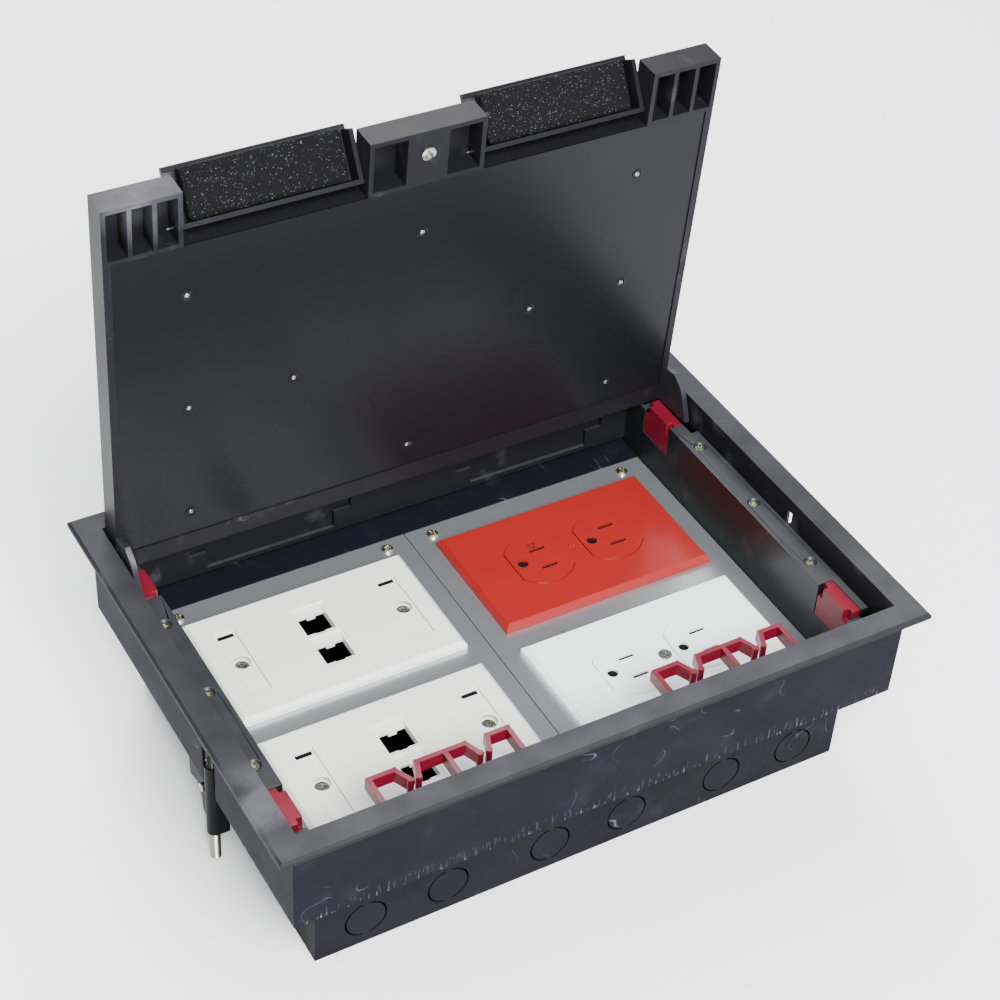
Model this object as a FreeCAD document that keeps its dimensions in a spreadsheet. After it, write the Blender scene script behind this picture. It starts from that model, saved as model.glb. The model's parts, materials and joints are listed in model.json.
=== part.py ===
"""Floor socket box: a steel box let into a raised floor, with a plastic trim, a hinged lid and sockets.

Millimetres. +Z is up, +X runs along the long side and the lid is hinged at +Y. The origin is the
centre of the lower box's underside.
"""
import FreeCAD, Part
import os
import re

SIZES = {
    # Steel boxes
    "deck": 94.5,               # underside of the trim flange above the base
    "upper_length": 304.0,
    "upper_width": 213.4,
    "upper_depth": 48.2,        # flange underside down to the underside of the ledge
    "ledge_end": 15.85,         # the lower box is set in under the upper box by these
    "ledge_side": 13.35,
    "steel": 1.2,
    "lip": 8.0,                 # outward lip of the lower box, welded under the ledge
    "knockout_radius": 10.2,
    "knockout_slit": 0.8,
    "knockout_web": 3.0,
    "knockout_height": 15.2,
    "knockout_inner": 20.1,
    "knockout_middle": 71.6,
    "knockout_outer": 111.8,
    "bar_thick": 3.5,
    "bar_width": 18.0,
    # Trim
    "flange_end": 8.7,          # overhang of the trim flange past the steel walls
    "flange_side": 7.05,
    "flange_thick": 3.0,
    "flange_bevel": 1.2,
    "wall_seat": 0.8,           # groove under the flange that the steel walls stand in
    "side_wall": 2.1,
    "end_wall": 3.35,
    "fit_gap": 0.3,             # between a piece and the pocket that it drops into
    "end_wall_depth": 44.0,
    "side_wall_depth": 14.0,
    "pocket_depth": 2.0,
    "pocket_width": 67.0,
    "pocket_bottom": 41.5,
    "tee_width": 85.0,
    "tee_top": 26.0,
    "tee_bottom": 32.0,
    "rear_pocket_pitch": 71.5,
    "rear_pocket_shift": 7.0,
    "clip_pitch": 70.5,
    "clip_pocket_top": 9.5,
    # Side rails
    "rail_width": 12.1,
    "rail_drop": 11.0,
    "rail_thick": 3.0,
    "rail_skirt": 2.0,
    "rail_relief": 4.0,
    "rail_screw_margin": 6.0,
    "rail_screw_pitch": 47.0,
    "rail_screw_shift": -1.8,
    "rail_screw_radius": 1.8,
    "rail_screw_head": 3.4,
    "rail_screw_head_height": 1.6,
    "rail_screw_length": 12.0,
    "boss_half": 6.0,
    "boss_gap": 0.7,
    "boss_depth": 26.0,
    # Sliding catches in the rails
    "catch_margin": 15.85,
    "catch_length": 22.0,
    "catch_depth": 18.0,
    "catch_flush": 0.3,
    "catch_width": 7.4,
    "catch_play": 0.15,
    "catch_notch": 3.0,
    "catch_wall": 4.0,
    # Mounting plates
    "seam": 0.5,
    "plate_end_gap": 0.2,
    "plate_side_gap": 5.85,
    "plate_slack": 0.4,
    "plate_screw_inner": 12.5,
    "plate_screw_margin": 13.75,
    "plate_screw_rear_margin": 6.8,
    "plate_screw_front_margin": 3.5,
    "plate_screw_radius": 1.9,
    "plate_screw_head": 3.3,
    "plate_screw_head_height": 1.8,
    "plate_screw_length": 9.0,
    # Wall plates and what they cover
    "face_length": 114.3,
    "face_width": 69.85,
    "face_height": 4.6,
    "face_skin": 1.6,
    "face_rim": 2.2,
    "face_bevel": 2.0,
    "device_inset": 0.5,
    "rear_row": 38.0,
    "front_row": -44.8,
    "outlet_pitch": 38.9,
    "outlet_radius": 17.2,
    "outlet_flat": 14.3,
    "outlet_proud": 0.5,
    "outlet_gap": 0.25,
    "socket_length": 66.0,
    "socket_width": 33.0,
    "socket_depth": 23.0,
    "socket_gap": 0.5,
    "blade_slot": 2.0,
    "blade_length": 8.4,
    "blade_spread": 6.35,
    "blade_offset": 2.0,
    "blade_depth": 12.0,
    "earth_radius": 2.6,
    "earth_offset": 9.2,
    "strap_length": 107.0,
    "strap_width": 38.0,
    "strap_thick": 1.2,
    "strap_screw_pitch": 83.3,
    "small_screw_radius": 1.7,
    "small_screw_head": 3.3,
    "small_screw_head_height": 1.2,
    "data_screw_length": 8.0,
    "centre_screw_reach": 10.0,
    "strap_screw_reach": 6.0,
    "jack_pitch": 20.7,
    "jack_length": 14.4,
    "jack_width": 16.5,
    "jack_bevel": 1.5,
    "jack_aperture_margin": 3.0,
    "label_pitch": 83.0,
    "label_length": 42.0,
    "label_width": 10.6,
    "label_floor": 0.8,
    "label_cover": 0.8,
    "label_cover_drop": 0.4,
    # Cable clips
    "clip_top": 10.5,
    "clip_height": 6.3,
    "clip_thick": 2.3,
    "clip_reach": 24.2,
    "clip_half": 33.3,
    "clip_post_radius": 1.5,
    "clip_post_height": 8.0,
    "clip_post_back": 7.7,
    # Lid, sized and placed as it lies when closed
    "lid_end_gap": 1.05,
    "lid_free_gap": 0.95,
    "lid_thick": 13.1,
    "lid_open": 86.4,
    "pivot_inset": 8.45,
    "pivot_below_top": 7.3,
    "lid_top_up": 2.9,          # outside face of the closed lid above the flange underside
    "lid_rear_gap": 7.6,
    "lid_rear_radius": 8.1,
    "lid_border": 3.5,
    "lid_band": 9.5,
    "lid_skin": 2.5,
    "lid_plate_thick": 1.2,
    "lid_plate_recess": 0.6,
    "infill_border": 5.0,
    "infill_thick": 4.0,
    "block_length": 27.5,
    "block_side": 35.35,
    "block_middle": 56.0,
    "block_wall": 2.2,
    "block_rib": 2.0,
    "dimple_radius": 3.0,
    "dimple_height": 0.8,
    "dimple_shank": 1.5,
    "dimple_shank_length": 4.0,
    "dimple_margin": 36.55,
    "dimple_middle": 60.5,
    "dimple_from_free": 53.5,
    "dimple_from_rear": 22.9,
    "lid_screw_inset": 11.6,
    "lid_screw_length": 7.0,
    "pin_radius": 2.5,
    "pin_gap": 0.05,
    "pin_length": 12.0,
    "arm_thick": 2.8,
    # Flaps in the lid's free edge
    "flap_gap": 0.4,
    "flap_thick": 2.5,
    "flap_rest": 33.0,
    "flap_pivot_free": 24.66,
    "flap_pivot_drop": 3.0,
    "flap_heel": 0.8,
    "flap_cheek": 2.0,
    "flap_depth": 11.0,
    "foam_margin": 5.5,
    "foam_depth": 8.0,
    "foam_edge": 0.7,
    "flap_pin_radius": 1.0,
    "flap_pin_length": 7.0,
    # Floor clamps
    "clamp_y": -22.0,
    "clamp_inset": 1.7,
    "clamp_slot_half": 6.25,
    "clamp_slot_top": 6.0,
    "clamp_slot_reach": 14.0,
    "stud_radius": 2.45,
    "stud_bottom": 92.5,
    "stud_head_radius": 4.0,
    "stud_head_height": 3.0,
    "stud_seat": 17.2,
    "bracket_thick": 2.8,
    "bracket_web": 2.5,
    "bracket_nose": 8.0,
    "jaw_radius": 3.6,
    "jaw_top": 33.0,
    "jaw_bottom": 75.0,
    "jaw_wing_top": 52.3,
    "jaw_wing_bottom": 62.7,
    "jaw_wing_length": 25.7,
    "jaw_half": 6.0,
    "jaw_foot": 12.0,
    "jaw_face": 0.2,            # the jaw's flat face, just outward of the stud's axis
    "jaw_thick": 6.0,
    "jaw_play": 0.8,
    "nut_radius": 3.0,
    "nut_height": 5.0,
    "running_gap": 0.06,
    "guide_screw_radius": 2.0,
    "guide_screw_height": 0.9,
    "guide_screw_aside": 4.0,
    "guide_screw_drop": 49.4,
    "guide_pad": 2.1,
    "guide_pad_height": 2.9,
    "guide_pin_radius": 0.7,
    "guide_pin_drop": 34.5,
}

# Sizes that follow from those above, so that pieces which fit together move together
FITTED = {
    "lower_length": "upper_length - 2 * ledge_end",
    "lower_width": "upper_width - 2 * ledge_side",
    "flange_length": "upper_length + 2 * flange_end",
    "flange_width": "upper_width + 2 * flange_side",
    "opening_length": "upper_length - 2 * (steel + fit_gap + side_wall)",
    "opening_width": "upper_width - 2 * (steel + fit_gap + end_wall)",
    "rail_inner": "opening_length / 2 - rail_width",
    "rail_screw_x": "opening_length / 2 - rail_screw_margin",
    "boss_inner": "rail_inner + rail_skirt + boss_gap",
    "catch_far": "opening_width / 2 - catch_margin",
    "catch_near": "catch_far - catch_length",
    "catch_inner": "rail_inner + catch_flush",
    "catch_outer": "catch_inner + catch_width",
    "plate_length": "lower_length / 2 - plate_end_gap - seam / 2",
    "plate_width": "lower_width - 2 * plate_side_gap",
    "plate_screw_outer": "seam / 2 + plate_length - plate_screw_margin",
    "plate_screw_rear": "plate_width / 2 - plate_screw_rear_margin",
    "plate_screw_front": "plate_width / 2 - plate_screw_front_margin",
    "power_x": "(seam + plate_length) / 2 - device_inset",
    "data_x": "-power_x",
    "pivot_y": "opening_width / 2 - pivot_inset",
    "lid_length": "opening_length - 2 * lid_end_gap",
    "lid_width": "pivot_y + lid_rear_gap + opening_width / 2 - lid_free_gap",
    "dimple_side": "lid_length / 2 - dimple_margin",
    "foam_length": "lid_length / 2 - block_side - block_middle / 2 - 2 * foam_margin",
    "clamp_x": "upper_length / 2 - clamp_inset",
}

document = FreeCAD.newDocument("FloorSocketBox")
sheet = document.addObject("Spreadsheet::Sheet", "Sheet")
for row, (alias, value) in enumerate(SIZES.items(), start=1):
    sheet.set("A%d" % row, str(value))
    sheet.setAlias("A%d" % row, alias)
for row, (alias, formula) in enumerate(FITTED.items(), start=1):
    sheet.set("B%d" % row, "=" + formula)
    sheet.setAlias("B%d" % row, alias)
document.recompute()
ALIASES = set(SIZES) | set(FITTED)

NODES = []
X_AXIS = FreeCAD.Vector(1, 0, 0)
Y_AXIS = FreeCAD.Vector(0, 1, 0)
Z_AXIS = FreeCAD.Vector(0, 0, 1)
TURNS = {
    "x": FreeCAD.Rotation(Y_AXIS, 90),
    "y": FreeCAD.Rotation(X_AXIS, -90),
    "z": FreeCAD.Rotation(),
}

# Heights and places that several pieces share, as expressions on the sheet
FLANGE_TOP = "deck + flange_thick"
LEDGE = "deck - upper_depth"
PLATE_TOP = "deck - upper_depth + steel"
FACE_TOP = PLATE_TOP + " + face_height"
RAIL_TOP = "deck - rail_drop"
LID_TOP = "deck + lid_top_up"
LID_UNDER = "deck + lid_top_up - lid_thick"
LID_REAR = "pivot_y + lid_rear_gap"
LID_FREE = "pivot_y + lid_rear_gap - lid_width"
PIVOT_Z = "deck + lid_top_up - pivot_below_top"
FLAP_PIVOT_Y = LID_FREE + " + flap_pivot_free"
FLAP_PIVOT_Z = LID_TOP + " - flap_pivot_drop"
PLATE_FAR = "seam / 2 + plate_length"
OPEN_LID = ("placement(vector(0; 0; 0); rotation(vector(1; 0; 0); -lid_open); "
            "vector(0; pivot_y; " + PIVOT_Z + "))")
REST_FLAP = ("placement(vector(0; 0; 0); rotation(vector(1; 0; 0); -flap_rest); "
             "vector(0; " + FLAP_PIVOT_Y + "; " + FLAP_PIVOT_Z + "))")


def bound(text):
    """Return an expression in which every size name points at the sheet."""
    return re.sub(r"[a-z][a-z_]*", lambda word: "Sheet." + word[0] if word[0] in ALIASES else word[0], text)


def size(alias):
    """Return one size from the sheet as a plain number."""
    return float(sheet.get(alias))


def new(kind, hint="Piece"):
    """Add an object to the document."""
    return document.addObject(kind, hint)


def place(piece, x, y, z):
    """Bind a piece's position to expressions."""
    for axis, text in zip("xyz", (x, y, z)):
        piece.setExpression("Placement.Base." + axis, bound(text))


def block(x, y, z):
    """Return a box between the (low, high) expressions on each axis."""
    piece = new("Part::Box")
    for side, (low, high) in zip(("Length", "Width", "Height"), (x, y, z)):
        piece.setExpression(side, bound("(%s) - (%s)" % (high, low)))
    place(piece, x[0], y[0], z[0])
    return piece


def rod(axis, radius, length, x, y, z):
    """Return a cylinder that starts at (x, y, z) and runs along +axis."""
    piece = new("Part::Cylinder")
    piece.setExpression("Radius", bound(radius))
    piece.setExpression("Height", bound(length))
    piece.Placement = FreeCAD.Placement(FreeCAD.Vector(), TURNS[axis])
    place(piece, x, y, z)
    return piece


def cone(low_radius, high_radius, height, x, y, z):
    """Return an upright cone that starts at (x, y, z)."""
    piece = new("Part::Cone")
    piece.setExpression("Radius1", bound(low_radius))
    piece.setExpression("Radius2", bound(high_radius))
    piece.setExpression("Height", bound(height))
    place(piece, x, y, z)
    return piece


def joined(pieces):
    """Return the pieces fused into one."""
    if len(pieces) == 1:
        return pieces[0]
    result = new("Part::MultiFuse")
    result.Shapes = pieces
    result.Refine = True
    return result


def cut(base, tools):
    """Return the base with the tools taken away."""
    result = new("Part::Cut")
    result.Base = base
    result.Tool = joined(tools)
    return result


def common(first, second):
    """Return what two pieces share."""
    result = new("Part::Common")
    result.Base = first
    result.Tool = second
    return result


def together(pieces):
    """Return separate solids held in one object."""
    result = new("Part::Compound")
    result.Links = pieces
    return result


def softened(base, alias, pick, kind="Part::Fillet"):
    """Return the base with the edges that pick accepts rounded or bevelled by one size."""
    document.recompute()
    amount = size(alias)
    result = new(kind)
    result.Base = base
    result.Edges = [(number, amount, amount)
                    for number, edge in enumerate(base.Shape.Edges, start=1) if pick(edge)]
    return result


def outline(points, axis, low, high):
    """Return a flat outline, given as (first, second) pairs, thickened along an axis.

    The pairs are (y, z) for axis x and (x, y) for axis z.
    """
    corner = {"x": lambda a, b: FreeCAD.Vector(low, a, b), "z": lambda a, b: FreeCAD.Vector(a, b, low)}[axis]
    ring = [corner(*point) for point in points]
    face = Part.Face(Part.makePolygon(ring + ring[:1]))
    return face.extrude({"x": X_AXIS, "z": Z_AXIS}[axis] * (high - low))


def solid(shape):
    """Return a document object that holds a shape made with Part's own functions."""
    piece = new("Part::Feature")
    piece.Shape = shape
    return piece


def node(name, piece, placement=None):
    """Name a finished sub-part and, on the lid, turn it to where it stands at rest."""
    if placement:
        holder = together([piece])
        holder.setExpression("Placement", bound(placement))
        piece = holder
    piece.Label = name
    NODES.append(piece)


def span(side, near, far):
    """Return the (low, high) pair between two distances from the middle, on one side."""
    return (near, far) if side > 0 else ("-(%s)" % far, "-(%s)" % near)


def about(middle, whole):
    """Return the (low, high) pair of a width about a middle."""
    return ("%s - (%s) / 2" % (middle, whole), "%s + (%s) / 2" % (middle, whole))


SIDES = {"left": -1, "right": 1}
ENDS = {"front": -1, "rear": 1}


def signed(side, text):
    """Return an expression on one side of the middle."""
    return "%s(%s)" % ("-" if side < 0 else "", text)


# ---------------------------------------------------------------- steel boxes

def clamp_slot(side, top):
    """Return the tool that opens a box wall and the ledge for a floor clamp and its stowed wing."""
    slot = block(span(side, "clamp_x - clamp_slot_reach + steel", "upper_length / 2 + steel"),
                 about("clamp_y", "2 * clamp_slot_half"), (LEDGE + " - steel", top))
    wing = block(span(side, "clamp_x - jaw_thick - jaw_play", "upper_length / 2 - steel"),
                 ("clamp_y - jaw_half", "clamp_y + jaw_wing_length + jaw_play"),
                 (LEDGE + " - steel", PLATE_TOP + " + 1"))
    return joined([slot, wing])


def upper_box():
    """Make the upper box: four walls and a ledge round the opening for the mounting plates."""
    shell = block(about("0", "upper_length"), about("0", "upper_width"), (LEDGE, "deck + wall_seat"))
    room = block(about("0", "upper_length - 2 * steel"), about("0", "upper_width - 2 * steel"),
                 (PLATE_TOP, "deck + 1"))
    window = block(about("0", "2 * (%s + plate_slack)" % PLATE_FAR),
                   about("0", "plate_width + 2 * plate_slack"), (LEDGE + " - 1", PLATE_TOP + " + 1"))
    slots = [clamp_slot(side, "deck - clamp_slot_top") for side in SIDES.values()]
    node("upper_box", cut(shell, [room, window] + slots))


def knockout(x, end):
    """Return the tool for one pressed knockout: a ring slit that leaves two webs."""
    y = signed(end, "lower_width / 2 + 1") if end < 0 else "lower_width / 2 - steel - 1"
    ring = cut(rod("y", "knockout_radius", "steel + 2", x, y, "knockout_height"),
               [rod("y", "knockout_radius - knockout_slit", "steel + 2", x, y, "knockout_height")])
    webs = block(about(x, "knockout_web"), about(signed(end, "lower_width / 2"), "4 * steel + 4"),
                 about("knockout_height", "3 * knockout_radius"))
    return cut(ring, [webs])


def lower_box():
    """Make the lower box: a pan with an outward lip and knockouts in both long walls."""
    shell = block(about("0", "lower_length"), about("0", "lower_width"), ("0", LEDGE))
    lip = block(about("0", "lower_length + 2 * lip"), about("0", "lower_width + 2 * lip"),
                (LEDGE + " - steel", LEDGE))
    room = block(about("0", "lower_length - 2 * steel"), about("0", "lower_width - 2 * steel"),
                 ("steel", LEDGE + " + 1"))
    rings = [knockout(signed(side, distance), end)
             for end in ENDS.values()
             for side in SIDES.values()
             for distance in ("knockout_inner", "knockout_middle", "knockout_outer")]
    slots = [clamp_slot(side, LEDGE + " + 1") for side in SIDES.values()]
    node("lower_box", cut(joined([shell, lip]), [room] + rings + slots))


def plate_screw_places():
    """List the (x, y) expressions of the eight mounting plate screws."""
    return [(signed(side, distance), row)
            for side in SIDES.values() for distance in ("plate_screw_inner", "plate_screw_outer")
            for row in ("-plate_screw_front", "plate_screw_rear")]


def plate_screw_holes():
    """Return the tools for the mounting plate screws' holes."""
    return [rod("z", "plate_screw_radius", "steel + bar_thick + 2", x, y, LEDGE + " - bar_thick - 1")
            for x, y in plate_screw_places()]


def support_bars():
    """Make the bars welded under the ledge, which carry the mounting plates' long edges."""
    bars = []
    for end in ENDS.values():
        wall = "lower_width / 2 - steel"
        bars.append(block(about("0", "lower_length - 2 * steel"), span(end, wall + " - bar_width", wall),
                          (LEDGE + " - bar_thick", LEDGE)))
    pieces = [cut(bar, plate_screw_holes()) for bar in bars]
    for end, piece in zip(ENDS, pieces):
        node(end + "_support_bar", piece)


def partition():
    """Make the sheet that keeps power and data cables apart."""
    node("partition", block(about("0", "steel"), about("0", "lower_width - 2 * steel"),
                            ("steel", LEDGE + " - bar_thick")))


# ---------------------------------------------------------------- trim and rails

def end_pocket(centre, end, top):
    """Return the tool for one tee-shaped pocket in an end wall's inner face."""
    depth = span(end, "opening_width / 2 - 1", "opening_width / 2 + pocket_depth")
    stem = block(about(centre, "pocket_width"), depth, ("deck - pocket_bottom", "deck - " + top))
    arms = block(about(centre, "tee_width"), depth, ("deck - tee_bottom", "deck - tee_top"))
    return joined([stem, arms])


def rail_screw_rows():
    """List the y expressions of the rail screws."""
    return ["rail_screw_shift - rail_screw_pitch", "rail_screw_shift", "rail_screw_shift + rail_screw_pitch"]


def clamp_bracket(side):
    """Return the yoke under the side wall that carries a clamp's stud."""
    wall = span(side, "opening_length / 2", "upper_length / 2 - steel - fit_gap")
    half = "clamp_slot_half + bracket_web"
    floor = ("deck - stud_seat - bracket_thick", "deck - stud_seat")
    webs = [block(wall, about("clamp_y %s (clamp_slot_half + bracket_web / 2)" % sign, "bracket_web"),
                  ("deck - stud_seat - bracket_thick", "deck - side_wall_depth"))
            for sign in ("+", "-")]
    shelf = block(span(side, "clamp_x - bracket_nose", "upper_length / 2 - steel - fit_gap"),
                  about("clamp_y", "2 * (%s)" % half), floor)
    nose = block(span(side, "clamp_x - bracket_nose", "clamp_x + stud_head_radius"),
                 about("clamp_y", "2 * (clamp_slot_half - fit_gap)"), floor)
    return joined(webs + [shelf, nose])


def trim_frame():
    """Make the trim: flange, walls inside the steel box, screw bosses and clamp yokes."""
    flange = softened(block(about("0", "flange_length"), about("0", "flange_width"), ("deck", FLANGE_TOP)),
                      "flange_bevel", lambda edge: edge.BoundBox.ZMin > size("deck") + 1, "Part::Chamfer")
    inside = "- 2 * steel - 2 * fit_gap"
    skirt = block(about("0", "upper_length " + inside), about("0", "upper_width " + inside),
                  ("deck - end_wall_depth", "deck"))
    opening = block(about("0", "opening_length"), about("0", "opening_width"),
                    ("deck - end_wall_depth - 1", FLANGE_TOP + " + 1"))
    low_sides = [block(span(side, "opening_length / 2 - 1", "upper_length / 2"), about("0", "opening_width"),
                       ("deck - end_wall_depth - 1", "deck - side_wall_depth")) for side in SIDES.values()]
    pockets = [end_pocket("rear_pocket_shift + " + signed(side, "rear_pocket_pitch"), 1, "tee_top")
               for side in SIDES.values()]
    pockets += [end_pocket(signed(side, "clip_pitch"), -1, "clip_pocket_top") for side in SIDES.values()]
    bosses = [block(span(side, "boss_inner", "upper_length / 2 - steel - fit_gap"),
                    about(row, "2 * boss_half"), ("deck - boss_depth", "deck - side_wall_depth"))
              for side in SIDES.values() for row in rail_screw_rows()]
    brackets = [clamp_bracket(side) for side in SIDES.values()]
    holes = [rod("z", "rail_screw_radius", "boss_depth", signed(side, "rail_screw_x"), row,
                 "deck - boss_depth - 1") for side in SIDES.values() for row in rail_screw_rows()]
    holes += [rod("z", "stud_radius + running_gap", "stud_seat", signed(side, "clamp_x"), "clamp_y",
                  "deck - stud_seat - bracket_thick - 1") for side in SIDES.values()]
    holes += [rod("x", "pin_radius + pin_gap", "4 * fit_gap + 1.5",
                  "opening_length / 2 - 1" if side > 0 else "-(opening_length / 2 + 4 * fit_gap + 0.5)",
                  "pivot_y", PIVOT_Z) for side in SIDES.values()]
    groove = cut(block(about("0", "upper_length + 2 * fit_gap"), about("0", "upper_width + 2 * fit_gap"),
                       ("deck - 1", "deck + wall_seat")),
                 [block(about("0", "upper_length " + inside), about("0", "upper_width " + inside),
                        ("deck - 2", "deck + 1"))])
    shell = cut(joined([flange, skirt]), [opening, groove] + low_sides + pockets)
    node("trim_frame", cut(joined([shell] + bosses + brackets), holes))


def catch_room(side, end):
    """Return the tool for the pocket that one sliding catch runs in."""
    return block(span(side, "rail_inner - 1", "catch_outer + catch_play"),
                 span(end, "catch_near - catch_play", "catch_far + catch_play"),
                 (RAIL_TOP + " - catch_depth", RAIL_TOP + " + 1"))


def rails():
    """Make the two side rails, each an inverted L with a walled pocket at both ends for a catch."""
    for name, side in SIDES.items():
        length = about("0", "opening_width - 2 * fit_gap")
        top = block(span(side, "rail_inner", "opening_length / 2 - fit_gap"), length,
                    (RAIL_TOP + " - rail_thick", RAIL_TOP))
        skirt = block(span(side, "rail_inner", "rail_inner + rail_skirt"), length, (PLATE_TOP, RAIL_TOP))
        housings = [block(span(side, "rail_inner", "catch_outer + catch_play"),
                          span(end, "catch_near - catch_wall", "catch_far + catch_wall"),
                          (RAIL_TOP + " - catch_depth - catch_wall", RAIL_TOP)) for end in ENDS.values()]
        rooms = [catch_room(side, end) for end in ENDS.values()]
        # the lid's rear edge swings down past the rails' ends
        reliefs = [block(span(side, "rail_inner - 1", "opening_length / 2"),
                         span(end, "catch_far + catch_play", "opening_width / 2"),
                         (RAIL_TOP + " - rail_relief", RAIL_TOP + " + 1")) for end in ENDS.values()]
        arm_slot = block(span(side, "catch_outer + catch_play", "opening_length / 2"),
                         ("catch_near - catch_wall - 4", "opening_width / 2"),
                         (RAIL_TOP + " - rail_thick - 1", RAIL_TOP + " + 1"))
        holes = [rod("z", "rail_screw_radius", "rail_thick + 2", signed(side, "rail_screw_x"), row,
                     RAIL_TOP + " - rail_thick - 1") for row in rail_screw_rows()]
        holes += [cone("rail_screw_radius", "rail_screw_head", "rail_screw_head_height",
                       signed(side, "rail_screw_x"), row, RAIL_TOP + " - rail_screw_head_height")
                  for row in rail_screw_rows()]
        node(name + "_rail", cut(joined([top, skirt] + housings), rooms + reliefs + [arm_slot] + holes))


def rail_screws():
    """Make the six countersunk rail screws."""
    screws = []
    for side in SIDES.values():
        for row in rail_screw_rows():
            x = signed(side, "rail_screw_x")
            head = cone("rail_screw_radius", "rail_screw_head", "rail_screw_head_height", x, row,
                        RAIL_TOP + " - rail_screw_head_height")
            shank = rod("z", "rail_screw_radius", "rail_screw_length - rail_screw_head_height / 2", x, row,
                        RAIL_TOP + " - rail_screw_length")
            screws.append(joined([head, shank]))
    node("rail_screws", together(screws))


def catches():
    """Make the four sliding catches, each a block with a notch at both ends."""
    for side_name, side in SIDES.items():
        for end_name, end in ENDS.items():
            body = block(span(side, "catch_inner", "catch_outer"), span(end, "catch_near", "catch_far"),
                         (RAIL_TOP + " - catch_depth", RAIL_TOP))
            notches = [block(span(side, "catch_inner - 1", "catch_inner + catch_notch"), span(end, near, far),
                             (RAIL_TOP + " - catch_depth / 3", RAIL_TOP + " + 1"))
                       for near, far in (("catch_near - 1", "catch_near + catch_notch"),
                                         ("catch_far - catch_notch", "catch_far + 1"))]
            node("%s_%s_catch" % (end_name, side_name), cut(body, notches))


# ---------------------------------------------------------------- mounting plates and devices

POWER = {"red": "rear_row", "white": "front_row"}
DATA = {"rear": "rear_row", "front": "front_row"}


def mounting_plates():
    """Make the power and data mounting plates, with an aperture under each device."""
    wide = block(span(1, "seam / 2", PLATE_FAR), about("0", "plate_width"), (LEDGE, PLATE_TOP))
    through = (LEDGE + " - 1", PLATE_TOP + " + 1")
    apertures = [block(about("power_x", "socket_length + 2 * socket_gap"),
                       about(row, "socket_width + 2 * socket_gap"), through) for row in POWER.values()]
    apertures += [rod("z", "small_screw_radius", "steel + 2", x, row, LEDGE + " - 1")
                  for row in POWER.values()
                  for x in ("power_x - strap_screw_pitch / 2", "power_x + strap_screw_pitch / 2")]
    node("power_mounting_plate", cut(wide, apertures + plate_screw_holes()))
    wide = block(span(-1, "seam / 2", PLATE_FAR), about("0", "plate_width"), (LEDGE, PLATE_TOP))
    windows = [block(about("data_x", "jack_length + 2 * jack_aperture_margin"),
                     about(row, "jack_width + jack_pitch + 2 * jack_aperture_margin"), through)
               for row in DATA.values()]
    windows += [rod("z", "small_screw_radius", "steel + 2", x, row, LEDGE + " - 1")
                for row in DATA.values()
                for x in ("data_x - label_pitch / 2", "data_x + label_pitch / 2")]
    node("data_mounting_plate", cut(wide, windows + plate_screw_holes()))


def pan_screw(x, y, seat, radius, length, head, head_height):
    """Return an upright pan-head screw whose head sits on the seat."""
    return joined([rod("z", radius, length, x, y, "%s - (%s)" % (seat, length)),
                   rod("z", head, head_height, x, y, seat)])


def mounting_screws():
    """Make the eight screws that hold the mounting plates to the bars."""
    node("mounting_screws", together([
        pan_screw(x, y, PLATE_TOP, "plate_screw_radius", "plate_screw_length", "plate_screw_head",
                  "plate_screw_head_height") for x, y in plate_screw_places()]))


def face_shell(x, y):
    """Return a wall plate's shell: a bevelled cap with a hollow underside."""
    cap = softened(block(about(x, "face_length"), about(y, "face_width"), (PLATE_TOP, FACE_TOP)),
                   "face_bevel", lambda edge: edge.BoundBox.ZLength < 0.01 and edge.BoundBox.ZMin
                   > size("deck") - size("upper_depth") + size("steel") + 1, "Part::Chamfer")
    hollow = block(about(x, "face_length - 2 * face_rim"), about(y, "face_width - 2 * face_rim"),
                   (PLATE_TOP + " - 1", FACE_TOP + " - face_skin"))
    return cut(cap, [hollow])


def outlet_places():
    """List the x expressions of the two outlets behind one wall plate."""
    return ["power_x - outlet_pitch / 2", "power_x + outlet_pitch / 2"]


def outlet_disc(x, y, grow, low, high):
    """Return one outlet's round face with its two flats, between two heights."""
    disc = rod("z", "outlet_radius + " + grow, "(%s) - (%s)" % (high, low), x, y, low)
    flats = block(about(x, "2 * (outlet_flat + %s)" % grow), about(y, "3 * outlet_radius"), (low, high))
    return common(disc, flats)


def wall_plates():
    """Make the two wall plates over the power outlets."""
    for name, row in POWER.items():
        holes = [outlet_disc(x, row, "outlet_gap", PLATE_TOP, FACE_TOP + " + 1") for x in outlet_places()]
        holes.append(rod("z", "small_screw_radius", "face_height + 1", "power_x", row, PLATE_TOP))
        holes.append(cone("small_screw_radius", "small_screw_head", "small_screw_head_height", "power_x", row,
                          FACE_TOP + " - small_screw_head_height"))
        node(name + "_wall_plate", cut(face_shell("power_x", row), holes))


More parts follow.
